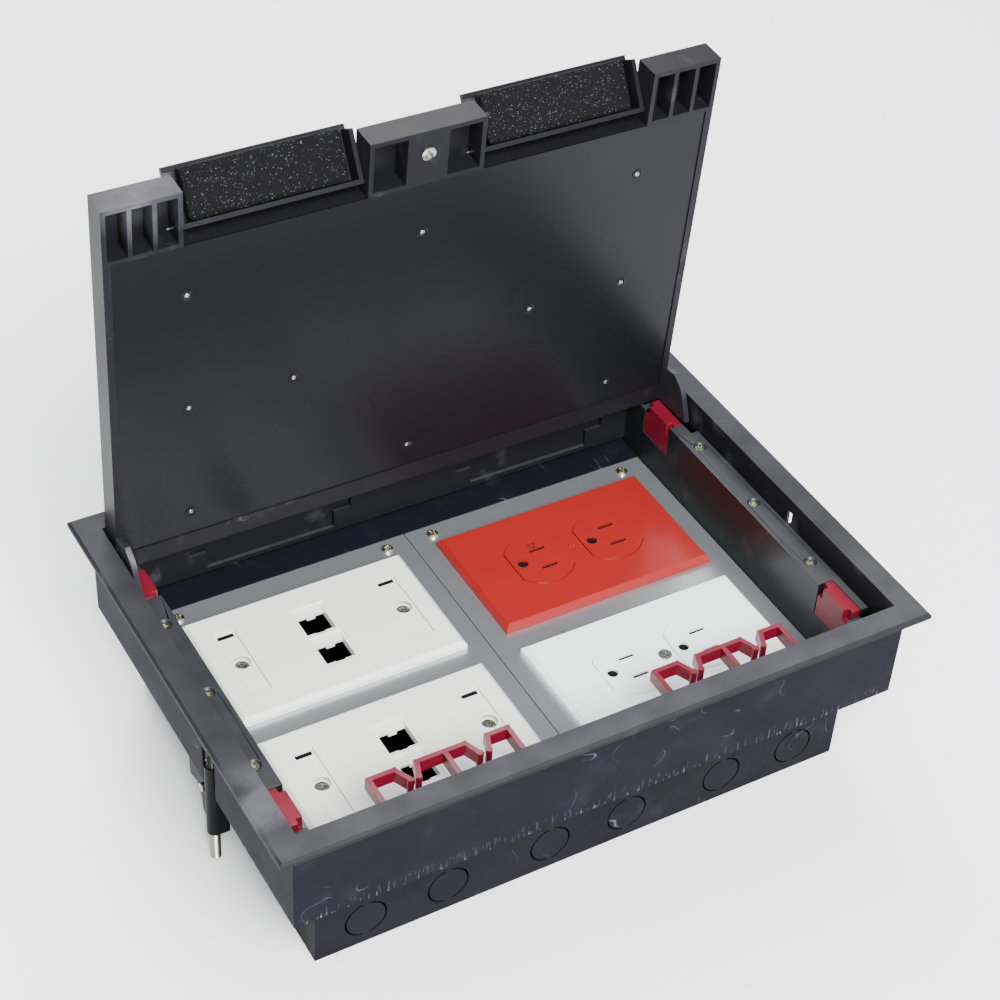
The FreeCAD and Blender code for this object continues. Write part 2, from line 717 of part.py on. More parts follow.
def receptacles():
    """Make the two duplex receptacles: a body under the plate and two faces through it."""
    floor = PLATE_TOP + " + strap_thick"
    proud = FACE_TOP + " + outlet_proud"
    for name, row in POWER.items():
        body = block(about("power_x", "socket_length"), about(row, "socket_width"),
                     (PLATE_TOP + " - socket_depth", PLATE_TOP))
        faces = [outlet_disc(x, row, "0", PLATE_TOP, proud) for x in outlet_places()]
        holes = [rod("z", "small_screw_radius", "socket_depth", "power_x", row,
                     PLATE_TOP + " - centre_screw_reach - 2")]
        for x in outlet_places():
            depth = (proud + " - blade_depth", proud + " + 1")
            holes += [block(about(x + " + blade_offset", "blade_length"),
                            about("%s %s blade_spread" % (row, sign), "blade_slot"), depth)
                      for sign in ("+", "-")]
            holes.append(rod("z", "earth_radius", "blade_depth + 1", x + " - earth_offset", row, depth[0]))
        node(name + "_receptacle", cut(joined([body] + faces), holes))
        strap = block(about("power_x", "strap_length"), about(row, "strap_width"), (PLATE_TOP, floor))
        openings = [outlet_disc(x, row, "outlet_gap", PLATE_TOP + " - 1", floor + " + 1")
                    for x in outlet_places()]
        openings += [rod("z", "small_screw_radius", "strap_thick + 2", x, row, PLATE_TOP + " - 1")
                     for x in ("power_x", "power_x - strap_screw_pitch / 2",
                               "power_x + strap_screw_pitch / 2")]
        node(name + "_strap", cut(strap, openings))


def device_screws():
    """Make the strap screws, the wall plates' centre screws and the data plates' screws."""
    strap_seat = PLATE_TOP + " + strap_thick"
    node("strap_screws", together([
        pan_screw(x, row, strap_seat, "small_screw_radius", "strap_screw_reach + strap_thick",
                  "small_screw_head", "small_screw_head_height") for row in POWER.values()
        for x in ("power_x - strap_screw_pitch / 2", "power_x + strap_screw_pitch / 2")]))
    centre = []
    for row in POWER.values():
        head = cone("small_screw_radius", "small_screw_head", "small_screw_head_height", "power_x", row,
                    FACE_TOP + " - small_screw_head_height")
        shank = rod("z", "small_screw_radius",
                    "face_height + centre_screw_reach - small_screw_head_height / 2", "power_x", row,
                    PLATE_TOP + " - centre_screw_reach")
        centre.append(joined([head, shank]))
    node("wall_plate_screws", together(centre))
    node("data_plate_screws", together([
        pan_screw(x, row, PLATE_TOP + " + label_floor", "small_screw_radius", "data_screw_length",
                  "small_screw_head", "small_screw_head_height") for row in DATA.values()
        for x in ("data_x - label_pitch / 2", "data_x + label_pitch / 2")]))


def data_plates():
    """Make the two data plates, each with two empty jack openings and two label recesses."""
    for name, row in DATA.items():
        shell = face_shell("data_x", row)
        sleeves, tools = [], []
        for sign in ("+", "-"):
            middle = "%s %s jack_pitch / 2" % (row, sign)
            sleeves.append(block(about("data_x", "jack_length + 3"), about(middle, "jack_width + 3"),
                                 (PLATE_TOP, FACE_TOP + " - face_skin / 2")))
            tools.append(block(about("data_x", "jack_length"), about(middle, "jack_width"),
                               (PLATE_TOP + " - 1", FACE_TOP + " + 1")))
            tools.append(block(about("data_x", "jack_length + 2 * jack_bevel"),
                               about(middle, "jack_width + 2 * jack_bevel"),
                               (FACE_TOP + " - face_skin / 2", FACE_TOP + " + 1")))
            x = "data_x %s label_pitch / 2" % sign
            sleeves.append(block(about(x, "label_width + 2"), about(row, "label_length + 2"),
                                 (PLATE_TOP, FACE_TOP + " - face_skin / 2")))
            tools.append(block(about(x, "label_width"), about(row, "label_length"),
                               (PLATE_TOP + " + label_floor", FACE_TOP + " + 1")))
            tools.append(rod("z", "small_screw_radius", "face_height", x, row, PLATE_TOP + " - 1"))
        node(name + "_data_plate", cut(joined([shell] + sleeves), tools))


def label_covers():
    """Make the four clear covers that snap into the data plates' label recesses."""
    covers = []
    for row in DATA.values():
        for sign in ("+", "-"):
            x = "data_x %s label_pitch / 2" % sign
            top = FACE_TOP + " - label_cover_drop"
            sheet_piece = block(about(x, "label_width - 0.1"), about(row, "label_length - 0.1"),
                                (top + " - label_cover", top))
            pry = block(about(x, "label_width / 3"), about(row + " + label_length / 2", "3"),
                        (top + " - 2 * label_cover", top + " + 1"))
            covers.append(cut(sheet_piece, [pry]))
    node("label_covers", together(covers))


# ---------------------------------------------------------------- cable clips

def strip(start, end, thick, low, high):
    """Return an upright strip of even thickness from one (x, y) point to another."""
    along = FreeCAD.Vector(end[0] - start[0], end[1] - start[1], 0)
    offset = FreeCAD.Vector(-along.y, along.x, 0).normalize() * (thick / 2)
    reach = FreeCAD.Vector(along).normalize() * (thick / 2)
    ring = [(start[0] - reach.x + offset.x, start[1] - reach.y + offset.y),
            (end[0] + reach.x + offset.x, end[1] + reach.y + offset.y),
            (end[0] + reach.x - offset.x, end[1] + reach.y - offset.y),
            (start[0] - reach.x - offset.x, start[1] - reach.y - offset.y)]
    return outline(ring, "z", low, high)


def cable_clips():
    """Make the two cable clips: a tee-shaped back in the wall pocket and two loops with turned-in mouths."""
    wall = -size("opening_width") / 2
    bar = wall + size("clip_reach")
    low, high = size("deck") - size("clip_top") - size("clip_height"), size("deck") - size("clip_top")
    thick, half, back = size("clip_thick"), size("clip_half"), size("clip_post_back")
    gap, play = size("pocket_depth"), size("fit_gap")
    # x of the bar's free ends and of the posts beside each mouth, from the clip's middle
    mouths = [(-21.2, -17.5, -13.6, -10.7), (12.4, 15.6, 20.0, 23.3)]
    for name, side in SIDES.items():
        middle = side * size("clip_pitch")
        pieces = [strip((middle + x, wall + thick / 2), (middle + x, bar), thick, low, high)
                  for x in (-half, 2.5, half)]
        starts = [-half] + [mouth[3] for mouth in mouths]
        stops = [mouth[0] for mouth in mouths] + [half]
        for start, stop in zip(starts, stops):
            pieces.append(strip((middle + start, bar), (middle + stop, bar), thick, low, high))
        for left_end, left_post, right_post, right_end in mouths:
            for end, post in ((left_end, left_post), (right_end, right_post)):
                foot = (middle + post, bar - back)
                pieces.append(strip((middle + end, bar), foot, thick, low, high))
                pieces.append(Part.makeCylinder(size("clip_post_radius"), size("clip_post_height"),
                                                FreeCAD.Vector(*foot, high - size("clip_post_height"))))
        stem = size("pocket_width") / 2 - play
        arms = size("tee_width") / 2 - play
        for reach, bottom, top in ((stem, "pocket_bottom", "clip_top"), (arms, "tee_bottom", "tee_top")):
            # the arms of the tee clear the pocket's roof and floor by the same play
            trim = play if reach == arms else 0.0
            floor = size("deck") - size(bottom) + play
            pieces.append(Part.makeBox(2 * reach, gap - play, size("deck") - size(top) - trim - floor,
                                       FreeCAD.Vector(middle - reach, wall - gap + play, floor)))
        shape = pieces[0].multiFuse(pieces[1:]).removeSplitter()
        node(name + "_cable_clip", solid(shape))


# ---------------------------------------------------------------- lid

def block_spans():
    """List the (low, high) pairs of the three blocks along the lid's free edge."""
    half = "lid_length / 2"
    return [span(-1, half + " - block_side", half), about("0", "block_middle"),
            span(1, half + " - block_side", half)]


def flap_span(side):
    """Return the (low, high) pair of the window that one flap closes."""
    return span(side, "block_middle / 2", "lid_length / 2 - block_side")


def dimple_places():
    """List the (x, y) expressions of the ten rivets in the lid's steel plate."""
    free_row, rear_row = LID_FREE + " + dimple_from_free", LID_REAR + " - dimple_from_rear"
    outer_rows = [(x, y) for y in (free_row, rear_row) for x in ("-dimple_side", "0", "dimple_side")]
    middle_row = [(signed(side, x), "(%s + %s) / 2" % (free_row, rear_row)) for side in SIDES.values()
                  for x in ("dimple_side", "dimple_middle")]
    return outer_rows + middle_row


def rivet_holes():
    """Return the tools for the rivets' holes in the lid."""
    low = LID_UNDER + " + lid_plate_recess - 1"
    return [rod("z", "dimple_shank", "dimple_shank_length + 1", x, y, low) for x, y in dimple_places()]


def lid_frame():
    """Make the lid's moulded frame, with ribbed blocks at the free edge and a rear edge round the pivot."""
    whole = block(about("0", "lid_length"), (LID_FREE, LID_REAR), (LID_UNDER, LID_TOP))
    tools = [block(flap_span(side), (LID_FREE + " - 1", LID_FREE + " + block_length"),
                   (LID_UNDER + " - 1", LID_TOP + " + 1")) for side in SIDES.values()]
    tools.append(block(about("0", "lid_length - 2 * lid_border"),
                       (LID_FREE + " + block_length", LID_REAR + " - lid_band"),
                       (LID_UNDER + " - 1", LID_UNDER + " + lid_plate_recess + lid_plate_thick")))
    tools.append(block(about("0", "lid_length - 2 * infill_border"),
                       (LID_FREE + " + block_length + infill_border",
                        LID_REAR + " - lid_band - infill_border"),
                       (LID_TOP + " - infill_thick", LID_TOP + " + 1")))
    pocket_y = (LID_FREE + " + block_wall", LID_FREE + " + block_length - block_wall")
    pocket_z = (LID_UNDER + " - 1", LID_TOP + " - lid_skin")
    for low, high in block_spans():
        # three pockets in each block, between its walls and two ribs
        clear = "((%s) - (%s) - 2 * block_wall - 2 * block_rib) / 3" % (high, low)
        for number in range(3):
            start = "%s + block_wall + %d * (%s + block_rib)" % (low, number, clear)
            if (low, high) == about("0", "block_middle") and number == 1:
                continue
            tools.append(block((start, start + " + " + clear), pocket_y, pocket_z))
    corner = cut(block(about("0", "lid_length + 2"), ("pivot_y", LID_REAR + " + 1"),
                       (PIVOT_Z, LID_TOP + " + 1")),
                 [rod("x", "lid_rear_radius", "lid_length + 4", "-(lid_length / 2 + 2)", "pivot_y", PIVOT_Z)])
    tools.append(corner)
    for side in SIDES.values():
        start = "lid_length / 2 - pin_length" if side > 0 else "-(lid_length / 2 + 1)"
        tools.append(rod("x", "pin_radius", "pin_length + 1", start, "pivot_y", PIVOT_Z))
    tools += flap_pin_rods()
    tools.append(rod("z", "small_screw_radius", "lid_screw_length + 1", "0", LID_FREE + " + lid_screw_inset",
                     LID_UNDER + " - 1"))
    node("lid_frame", cut(whole, tools + rivet_holes()), OPEN_LID)


def flap_pin_rods():
    """Return the four rods on the flaps' axes, each half in a block and half in a flap's cheek."""
    rods = []
    for side in SIDES.values():
        for edge in ("block_middle / 2", "lid_length / 2 - block_side"):
            low, high = span(side, edge + " - flap_pin_length / 2", edge + " + flap_pin_length / 2")
            rods.append(rod("x", "flap_pin_radius", "flap_pin_length", low, FLAP_PIVOT_Y, FLAP_PIVOT_Z))
    return rods


def flap_pins():
    """Make the four pins that the flaps turn on."""
    node("flap_pins", together(flap_pin_rods()), OPEN_LID)


def lid_plate():
    """Make the steel plate under the lid and the rivets that hold it."""
    low = LID_UNDER + " + lid_plate_recess"
    sheet_piece = block(about("0", "lid_length - 2 * lid_border - fit_gap"),
                        (LID_FREE + " + block_length + fit_gap / 2", LID_REAR + " - lid_band - fit_gap / 2"),
                        (low, low + " + lid_plate_thick"))
    node("lid_steel_plate", cut(sheet_piece, rivet_holes()), OPEN_LID)
    rivets = []
    for x, y in dimple_places():
        head = rod("z", "dimple_radius", "dimple_height", x, y, low + " - dimple_height")
        shank = rod("z", "dimple_shank", "dimple_shank_length", x, y, low)
        rivets.append(joined([head, shank]))
    node("lid_rivets", together(rivets), OPEN_LID)


def lid_infill():
    """Make the floor covering inlaid in the lid's outside."""
    border = "infill_border + fit_gap"
    node("lid_infill", block(about("0", "lid_length - 2 * (%s)" % border),
                             (LID_FREE + " + block_length + " + border,
                              LID_REAR + " - lid_band - (%s)" % border),
                             (LID_TOP + " - infill_thick", LID_TOP + " - fit_gap")), OPEN_LID)


def lid_screw():
    """Make the screw in the middle block of the lid's free edge."""
    seat = LID_UNDER
    node("lid_centre_screw", joined([
        rod("z", "small_screw_radius", "lid_screw_length", "0", LID_FREE + " + lid_screw_inset", seat),
        rod("z", "small_screw_head", "small_screw_head_height", "0", LID_FREE + " + lid_screw_inset",
            seat + " - small_screw_head_height")]), OPEN_LID)


def hinge_pins():
    """Make the two pins that the lid turns on."""
    length = "pin_length + opening_length / 2 - lid_length / 2 + 4 * fit_gap"
    pins = [rod("x", "pin_radius", length,
                "lid_length / 2 - pin_length" if side > 0 else "-(opening_length / 2 + 4 * fit_gap)",
                "pivot_y", PIVOT_Z) for side in SIDES.values()]
    node("hinge_pins", together(pins), OPEN_LID)


def hinge_arms():
    """Make the two hinge arms, quadrants that hang from the lid's underside beside the catches."""
    under = size("deck") + size("lid_top_up") - size("lid_thick")
    pivot = (size("pivot_y"), size("deck") + size("lid_top_up") - size("pivot_below_top"))
    # (y, z) from the pivot, as the arm hangs when the lid is closed
    profile = [(-13.8, -5.8), (-14.3, -9.0), (-16.8, -15.9), (-12.8, -22.4), (-7.5, -25.7), (3.7, -30.7),
               (7.2, -5.8)]
    ring = [(pivot[0] + y, min(pivot[1] + z, under)) for y, z in profile]
    outer = size("lid_length") / 2
    for name, side in SIDES.items():
        low, high = sorted((side * (outer - size("arm_thick")), side * outer))
        node(name + "_hinge_arm", solid(outline(ring, "x", low, high)), OPEN_LID)


def flaps():
    """Make the two cable exit flaps and the foam pads on their inner faces."""
    pose = OPEN_LID + " * " + REST_FLAP
    hinge_y, free = FLAP_PIVOT_Y, LID_FREE
    for name, side in SIDES.items():
        low, high = flap_span(side)
        low, high = low + " + flap_gap", high + " - flap_gap"
        middle = signed(side, "(block_middle / 2 + lid_length / 2 - block_side) / 2")
        plate = block((low, high), (free, hinge_y + " + flap_heel"), (LID_TOP + " - flap_thick", LID_TOP))
        cheeks = [block(pair, (free + " + 2", hinge_y + " + flap_heel"),
                        (LID_TOP + " - flap_depth", LID_TOP)) for pair in
                  ((low, low + " + flap_cheek"), (high + " - flap_cheek", high))]
        heel = block((low, high), (hinge_y + " - 1.2", hinge_y + " + flap_heel"),
                     (LID_TOP + " - flap_depth", LID_TOP))
        bores = [rod("x", "flap_pin_radius + pin_gap", "flap_pin_length + flap_gap",
                     "%s - (flap_pin_length / 2 + flap_gap / 2)" % signed(side, edge),
                     hinge_y, FLAP_PIVOT_Z)
                 for edge in ("block_middle / 2", "lid_length / 2 - block_side")]
        node(name + "_flap", cut(joined([plate, heel] + cheeks), bores), pose)
        foam = block(about(middle, "foam_length"),
                     (free + " + foam_edge", hinge_y + " - 1.2"),
                     (LID_TOP + " - flap_thick - foam_depth", LID_TOP + " - flap_thick"))
        node(name + "_foam", foam, pose)


# ---------------------------------------------------------------- floor clamps

def clamps():
    """Make both floor clamps: jack screw, nut, a jaw that swings out under the floor and its guide screw."""
    for name, side in SIDES.items():
        x = signed(side, "clamp_x")
        shaft = rod("z", "stud_radius", "stud_bottom - stud_seat", x, "clamp_y", "deck - stud_bottom")
        head = rod("z", "stud_head_radius", "stud_head_height", x, "clamp_y", "deck - stud_seat")
        node(name + "_jack_screw", joined([shaft, head]))
        nut = cut(rod("z", "nut_radius", "nut_height", x, "clamp_y", "deck - jaw_top - nut_height"),
                  [rod("z", "stud_radius + running_gap / 3", "nut_height + 2", x, "clamp_y",
                       "deck - jaw_top - nut_height - 1")])
        node(name + "_jack_nut", nut)
        node(name + "_clamp_jaw", clamp_jaw(side, x))
        pad_end = "clamp_x + guide_pad_height + jaw_face"
        low = pad_end if side > 0 else "-(%s + guide_screw_height)" % pad_end
        head = rod("x", "guide_screw_radius", "guide_screw_height", low, "clamp_y + guide_screw_aside",
                   "deck - guide_screw_drop")
        face = "clamp_x + jaw_face"
        low = face if side > 0 else "-(%s + guide_screw_height)" % face
        pin = rod("x", "guide_pin_radius", "guide_screw_height", low, "clamp_y + jaw_half - 1.2",
                  "deck - guide_pin_drop")
        node(name + "_guide_screw", together([head, pin]))


def clamp_jaw(side, x):
    """Return one jaw: a flat body beside the stud with a wing, a sleeve round the stud and a screw pad."""
    middle, deck = size("clamp_y"), size("deck")
    half, foot, reach = size("jaw_half"), size("jaw_foot"), size("jaw_wing_length")
    top, bottom = deck - size("jaw_top"), deck - size("jaw_bottom")
    wing_top, wing_bottom = deck - size("jaw_wing_top"), deck - size("jaw_wing_bottom")
    near = -size("jaw_radius")
    # (y from the stud, z); the wing's underside slopes into the foot
    profile = [(near, top), (half, top), (half, wing_top), (reach, wing_top), (reach, wing_bottom),
               (foot + 5.3, wing_bottom + 2.2), (foot + 0.8, wing_bottom - 3.8), (foot, bottom + 2),
               (foot - 4, bottom), (near, bottom)]
    face = size("clamp_x") + size("jaw_face")
    low, high = sorted((side * face, side * (face - size("jaw_thick"))))
    body = solid(outline([(middle + y, z) for y, z in profile], "x", low, high))
    sleeve = rod("z", "jaw_radius", "jaw_bottom - jaw_top", x, "clamp_y", "deck - jaw_bottom")
    pad_low = "clamp_x" if side > 0 else "-(clamp_x + guide_pad_height + jaw_face)"
    pad = rod("x", "guide_pad", "guide_pad_height + jaw_face", pad_low, "clamp_y + guide_screw_aside",
              "deck - guide_screw_drop")
    bores = [rod("z", "stud_radius + 2 * running_gap", "jaw_bottom", x, "clamp_y", "deck - jaw_bottom - 1"),
             rod("z", "nut_radius + running_gap", "nut_height + running_gap + 1", x, "clamp_y",
                 "deck - jaw_top - nut_height - running_gap")]
    # above the ledge the jaw's inner corners keep within the slot as it swings out
    inner = block(span(side, "clamp_x - jaw_thick - 1", "clamp_x"), about("clamp_y", "4 * jaw_half"),
                  (LEDGE + " - jaw_play", "deck - jaw_top + 1"))
    turning = rod("z", "clamp_slot_half - fit_gap / 2", "deck", x, "clamp_y", "0")
    return cut(joined([body, sleeve, pad]), bores + [cut(inner, [turning])])


def main():
    """Build every sub-part, check the document and write one STEP file for each node."""
    for make in (upper_box, lower_box, support_bars, partition, trim_frame, rails, rail_screws, catches,
                 mounting_plates, mounting_screws, wall_plates, receptacles, device_screws, data_plates,
                 label_covers, cable_clips, lid_frame, lid_plate, lid_infill, lid_screw, hinge_pins,
                 hinge_arms, flap_pins, flaps, clamps):
        make()
    document.recompute()
    for piece in document.Objects:
        if "Invalid" in piece.State or "Error" in piece.State:
            raise ValueError("%s failed: %s" % (piece.Label, piece.State))
    os.makedirs("parts", exist_ok=True)
    for piece in NODES:
        if piece.Shape.isNull() or not piece.Shape.isValid() or not piece.Shape.Solids:
            raise ValueError("%s has no sound shape" % piece.Label)
        piece.Shape.exportStep("parts/%s.step" % piece.Label)
        box = piece.Shape.BoundBox
        print("%-22s %2d solids %10.1f mm3  x %.1f..%.1f y %.1f..%.1f z %.1f..%.1f" % (
            piece.Label, len(piece.Shape.Solids), piece.Shape.Volume,
            box.XMin, box.XMax, box.YMin, box.YMax, box.ZMin, box.ZMax))


main()
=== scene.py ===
"""Looks of a floor socket box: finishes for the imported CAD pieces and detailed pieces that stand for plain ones."""
import json
import logging
import math
import random
from dataclasses import dataclass, field
from enum import Enum
from typing import Any, Iterable, Optional

import bmesh
import bpy
import numpy as np
from mathutils import Euler, Matrix, Vector, noise


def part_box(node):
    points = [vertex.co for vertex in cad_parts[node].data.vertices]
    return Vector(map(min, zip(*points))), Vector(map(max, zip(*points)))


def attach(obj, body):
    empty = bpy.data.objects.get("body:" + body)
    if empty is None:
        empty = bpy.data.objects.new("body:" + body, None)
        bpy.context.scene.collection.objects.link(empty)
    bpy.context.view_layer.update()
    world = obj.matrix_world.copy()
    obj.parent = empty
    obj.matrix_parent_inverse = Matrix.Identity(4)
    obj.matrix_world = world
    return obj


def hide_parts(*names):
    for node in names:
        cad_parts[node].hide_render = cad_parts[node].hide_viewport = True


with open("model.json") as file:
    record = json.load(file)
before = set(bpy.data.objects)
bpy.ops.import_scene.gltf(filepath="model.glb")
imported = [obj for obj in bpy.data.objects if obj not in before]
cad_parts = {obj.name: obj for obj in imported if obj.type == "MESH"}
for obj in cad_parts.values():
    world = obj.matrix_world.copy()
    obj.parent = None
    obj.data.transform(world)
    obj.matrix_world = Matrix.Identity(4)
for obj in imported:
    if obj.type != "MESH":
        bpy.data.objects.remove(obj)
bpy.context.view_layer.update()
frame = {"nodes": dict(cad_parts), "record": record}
log = logging.getLogger("floor_socket_box")
MM = 0.001
TOUCHING = 1e-6                 # metres within which two points are one
SHARP = 35                      # degrees from which a CAD edge is rounded
Triple = tuple[float, float, float]
UP = Vector((0, 0, 1))


# ---------------------------------------------------------------- colour and nodes

def linear(code: str) -> tuple[float, float, float, float]:
    """Turn an sRGB hex colour into linear RGBA.

    Args:
        code: the colour as "#rrggbb".

    Returns:
        The linear colour with full alpha.
    """
    parts = [int(code[i:i + 2], 16) / 255 for i in (1, 3, 5)]
    return (*[p / 12.92 if p <= 0.04045 else ((p + 0.055) / 1.055) ** 2.4 for p in parts], 1.0)


def add(tree: bpy.types.NodeTree, kind: str, settings: Optional[dict[str, Any]] = None,
        inputs: Optional[dict[Any, Any]] = None) -> bpy.types.Node:
    """Add a shader node with its settings and its links.

    Args:
        tree: the material's node tree.
        kind: the node's type, without its ShaderNode prefix.
        settings: attributes to set on the node.
        inputs: for each input socket, by name or number, a value or the output that feeds it.

    Returns:
        The new node.
    """
    node = tree.nodes.new("ShaderNode" + kind)
    for name, value in (settings or {}).items():
        setattr(node, name, value)
    for name, value in (inputs or {}).items():
        if isinstance(value, bpy.types.NodeSocket):
            tree.links.new(value, node.inputs[name])
        else:
            node.inputs[name].default_value = value
    return node


class WearAndLight(Enum):
    """What handling has left on a surface, and the painted light that some finishes add."""
    CLEAN = "clean"
    SCUFFED = "scuffed"         # pale hairline scratches and rubbed patches
    FLOOR_EDGE = "floor edge"   # rubbed bright along a box's lower edge
    SCUFFED_LIT_TOP = "scuffed lit top"   # scuffed, with painted light that makes its top paler than its sides


# Sizes of the wear and of the painted light on tops, in millimetres
CLOUD_SIZE = 17.0               # of the patches that wear follows
HAIRLINE_SWEEP = 22.0           # of the curves that scratches follow
STREAK_WIDTH = 1.3
STREAK_HEIGHT = 7.0
LIT_TOP_FRONT, LIT_TOP_BACK = -110.0, -40.0   # places along Y between which the painted light on a top fades
# Shares
HAIRLINE_LEVEL, HAIRLINE_WIDTH = 0.52, 0.004
STREAK_DRAW = 0.16              # how much a streak is squeezed along Z, which draws it out upright
# how far the painted light pales an upward face
LIT_TOP_LEVEL = 0.55


@dataclass(frozen=True)
class SmudgeAndHighlight:
    """A cloudy pale patch: rubbed by hands on the trim, a painted highlight on the lid's left block."""
    node: str
    at: Triple                  # as a share of the way across the node's box
    radius: float               # in millimetres

    def centre(self) -> Triple:
        """Return the patch's middle in millimetres."""
        low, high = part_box(self.node)
        return tuple((a + (b - a) * share) / MM for a, b, share in zip(low, high, self.at))


@dataclass(frozen=True)
class Ground:
    """What wear is drawn with, in one material."""
    tree: bpy.types.NodeTree
    place: bpy.types.NodeSocket     # in millimetres
    cloud: bpy.types.NodeSocket     # the noise that wear follows
    facing: bpy.types.NodeSocket    # how far the face looks up, from -1 to 1


@dataclass(frozen=True)
class Finish:
    """A surface with two close tones in soft patches, a fine grain, some wear and, on some finishes, painted light.

    Lengths are in millimetres. The mottling gives the slow change of tone that a real moulding or coating
    has, and the grain breaks up its highlights.
    """
    name: str
    tone: str
    shade: str
    roughness: float
    metallic: float = 0.0
    ior: float = 1.5
    coat: float = 0.0
    patch: float = 40.0
    grain: float = 0.5
    depth: float = 0.012
    stretch: Triple = (1.0, 1.0, 1.0)
    wear: WearAndLight = WearAndLight.CLEAN
    # the tone of scratches and rubbed patches, and of the painted light that TRIM, RAIL and LID add
    worn: str = "#c8c8cc"
    rub: float = 0.3            # how strongly the rubbed patches show
    through: float = 0.0
    specular: float = 0.5
    # a pale patch: rubbed wear on the trim, a painted highlight on the lid
    smudge_and_highlight: Optional[SmudgeAndHighlight] = None

    def start(self) -> tuple[bpy.types.Material, bpy.types.NodeTree, bpy.types.NodeSocket]:
        """Make the material with its shader's constant values.

        Returns:
            The material, its tree and the place on the piece in millimetres.
        """
        material = bpy.data.materials.new(self.name)
        material.use_nodes = True
        tree = material.node_tree
        shader = tree.nodes["Principled BSDF"]
        shader.inputs["Metallic"].default_value = self.metallic
        if not self.metallic:
            shader.inputs["IOR"].default_value = self.ior
        shader.inputs["Specular IOR Level"].default_value = self.specular
        shader.inputs["Coat Weight"].default_value = self.coat
        shader.inputs["Coat Roughness"].default_value = 0.12
        if self.through:
            shader.inputs["Subsurface Weight"].default_value = self.through
            shader.inputs["Subsurface Radius"].default_value = (1.0, 0.18, 0.2)
            shader.inputs["Subsurface Scale"].default_value = 2.5 * MM
        place = add(tree, "TexCoord").outputs["Object"]
        return material, tree, add(tree, "VectorMath", {"operation": "SCALE"},
                                   {0: place, "Scale": 1 / MM}).outputs[0]

    def material(self) -> bpy.types.Material:
        """Build the whole material.

        Returns:
            The finished material.
        """
        material, tree, place = self.start()
        shader = tree.nodes["Principled BSDF"]
        patches = add(tree, "TexNoise", {}, {"Vector": place, "Scale": 1 / self.patch, "Detail": 3.0})
        colour = add(tree, "Mix", {"data_type": "RGBA"},
                     {0: patches.outputs[0], 6: linear(self.tone), 7: linear(self.shade)}).outputs[2]
        rough = add(tree, "MapRange", {}, {0: patches.outputs[0], 3: self.roughness * 0.85,
                                           4: self.roughness * 1.15}).outputs[0]
        if self.wear is not WearAndLight.CLEAN:
            mask = self.wear_and_light_mask(tree, place)
            colour = add(tree, "Mix", {"data_type": "RGBA"}, {0: mask, 6: colour, 7: linear(self.worn)}).outputs[2]
            rough = add(tree, "Math", {"operation": "MULTIPLY_ADD"}, {0: mask, 1: 0.15, 2: rough}).outputs[0]
        drawn = add(tree, "Mapping", {}, {"Vector": place, "Scale": self.stretch}).outputs[0]
        grain = add(tree, "TexNoise", {}, {"Vector": drawn, "Scale": 1 / self.grain, "Detail": 2.0})
        bump = add(tree, "Bump", {}, {"Height": grain.outputs[0], "Distance": self.depth * MM, "Strength": 1.0})
        for name, value in (("Base Color", colour), ("Roughness", rough), ("Normal", bump.outputs[0])):
            tree.links.new(value, shader.inputs[name])
        return material

    def wear_and_light_mask(self, tree: bpy.types.NodeTree, place: bpy.types.NodeSocket) -> bpy.types.NodeSocket:
        """Draw where the surface is scratched or rubbed, and where light is painted on it.

        Args:
            tree: the material's node tree.
            place: the place on the piece in millimetres.

        Returns:
            A mask from 0, untouched, to 1, fully worn or fully lit by painted light.
        """
        cloud = add(tree, "TexNoise", {}, {"Vector": place, "Scale": 1 / CLOUD_SIZE, "Detail": 5.0}).outputs[0]
        facing = add(tree, "SeparateXYZ", {}, {0: tree.nodes["Texture Coordinate"].outputs["Normal"]}).outputs[2]
        ground = Ground(tree, place, cloud, facing)
        masks = [self.scratches(ground),
                 add(tree, "MapRange", {}, {0: cloud, 1: 0.6, 2: 0.8, 3: 0.0, 4: self.rub}).outputs[0]]
        if self.smudge_and_highlight:
            masks.append(self.smudge_and_highlight_patch(ground))
        if self.wear is WearAndLight.SCUFFED_LIT_TOP:
            masks.append(self.painted_lit_top(ground))
        if self.wear is WearAndLight.FLOOR_EDGE:
            masks.append(self.lower_edge(ground))
        worn = masks[0]
        for mask in masks[1:]:
            worn = add(tree, "Math", {"operation": "MAXIMUM"}, {0: worn, 1: mask}).outputs[0]
        return worn

    def scratches(self, ground: Ground) -> bpy.types.NodeSocket:
        """Draw hairlines along one level of a slow noise, in cloudy places only.

        Args:
            ground: what to draw it with.

        Returns:
            The mask.
        """
        tree, place, cloud = ground.tree, ground.place, ground.cloud
        lines = add(tree, "TexNoise", {}, {"Vector": place, "Scale": 1 / HAIRLINE_SWEEP, "Detail": 1.0}).outputs[0]
        away = add(tree, "Math", {"operation": "SUBTRACT"}, {0: lines, 1: HAIRLINE_LEVEL}).outputs[0]
        away = add(tree, "Math", {"operation": "ABSOLUTE"}, {0: away}).outputs[0]
        hair = add(tree, "MapRange", {}, {0: away, 1: 0.0, 2: HAIRLINE_WIDTH, 3: 1.0, 4: 0.0}).outputs[0]
        patch = add(tree, "MapRange", {}, {0: cloud, 1: 0.56, 2: 0.72}).outputs[0]
        return add(tree, "Math", {"operation": "MULTIPLY"}, {0: hair, 1: patch}).outputs[0]

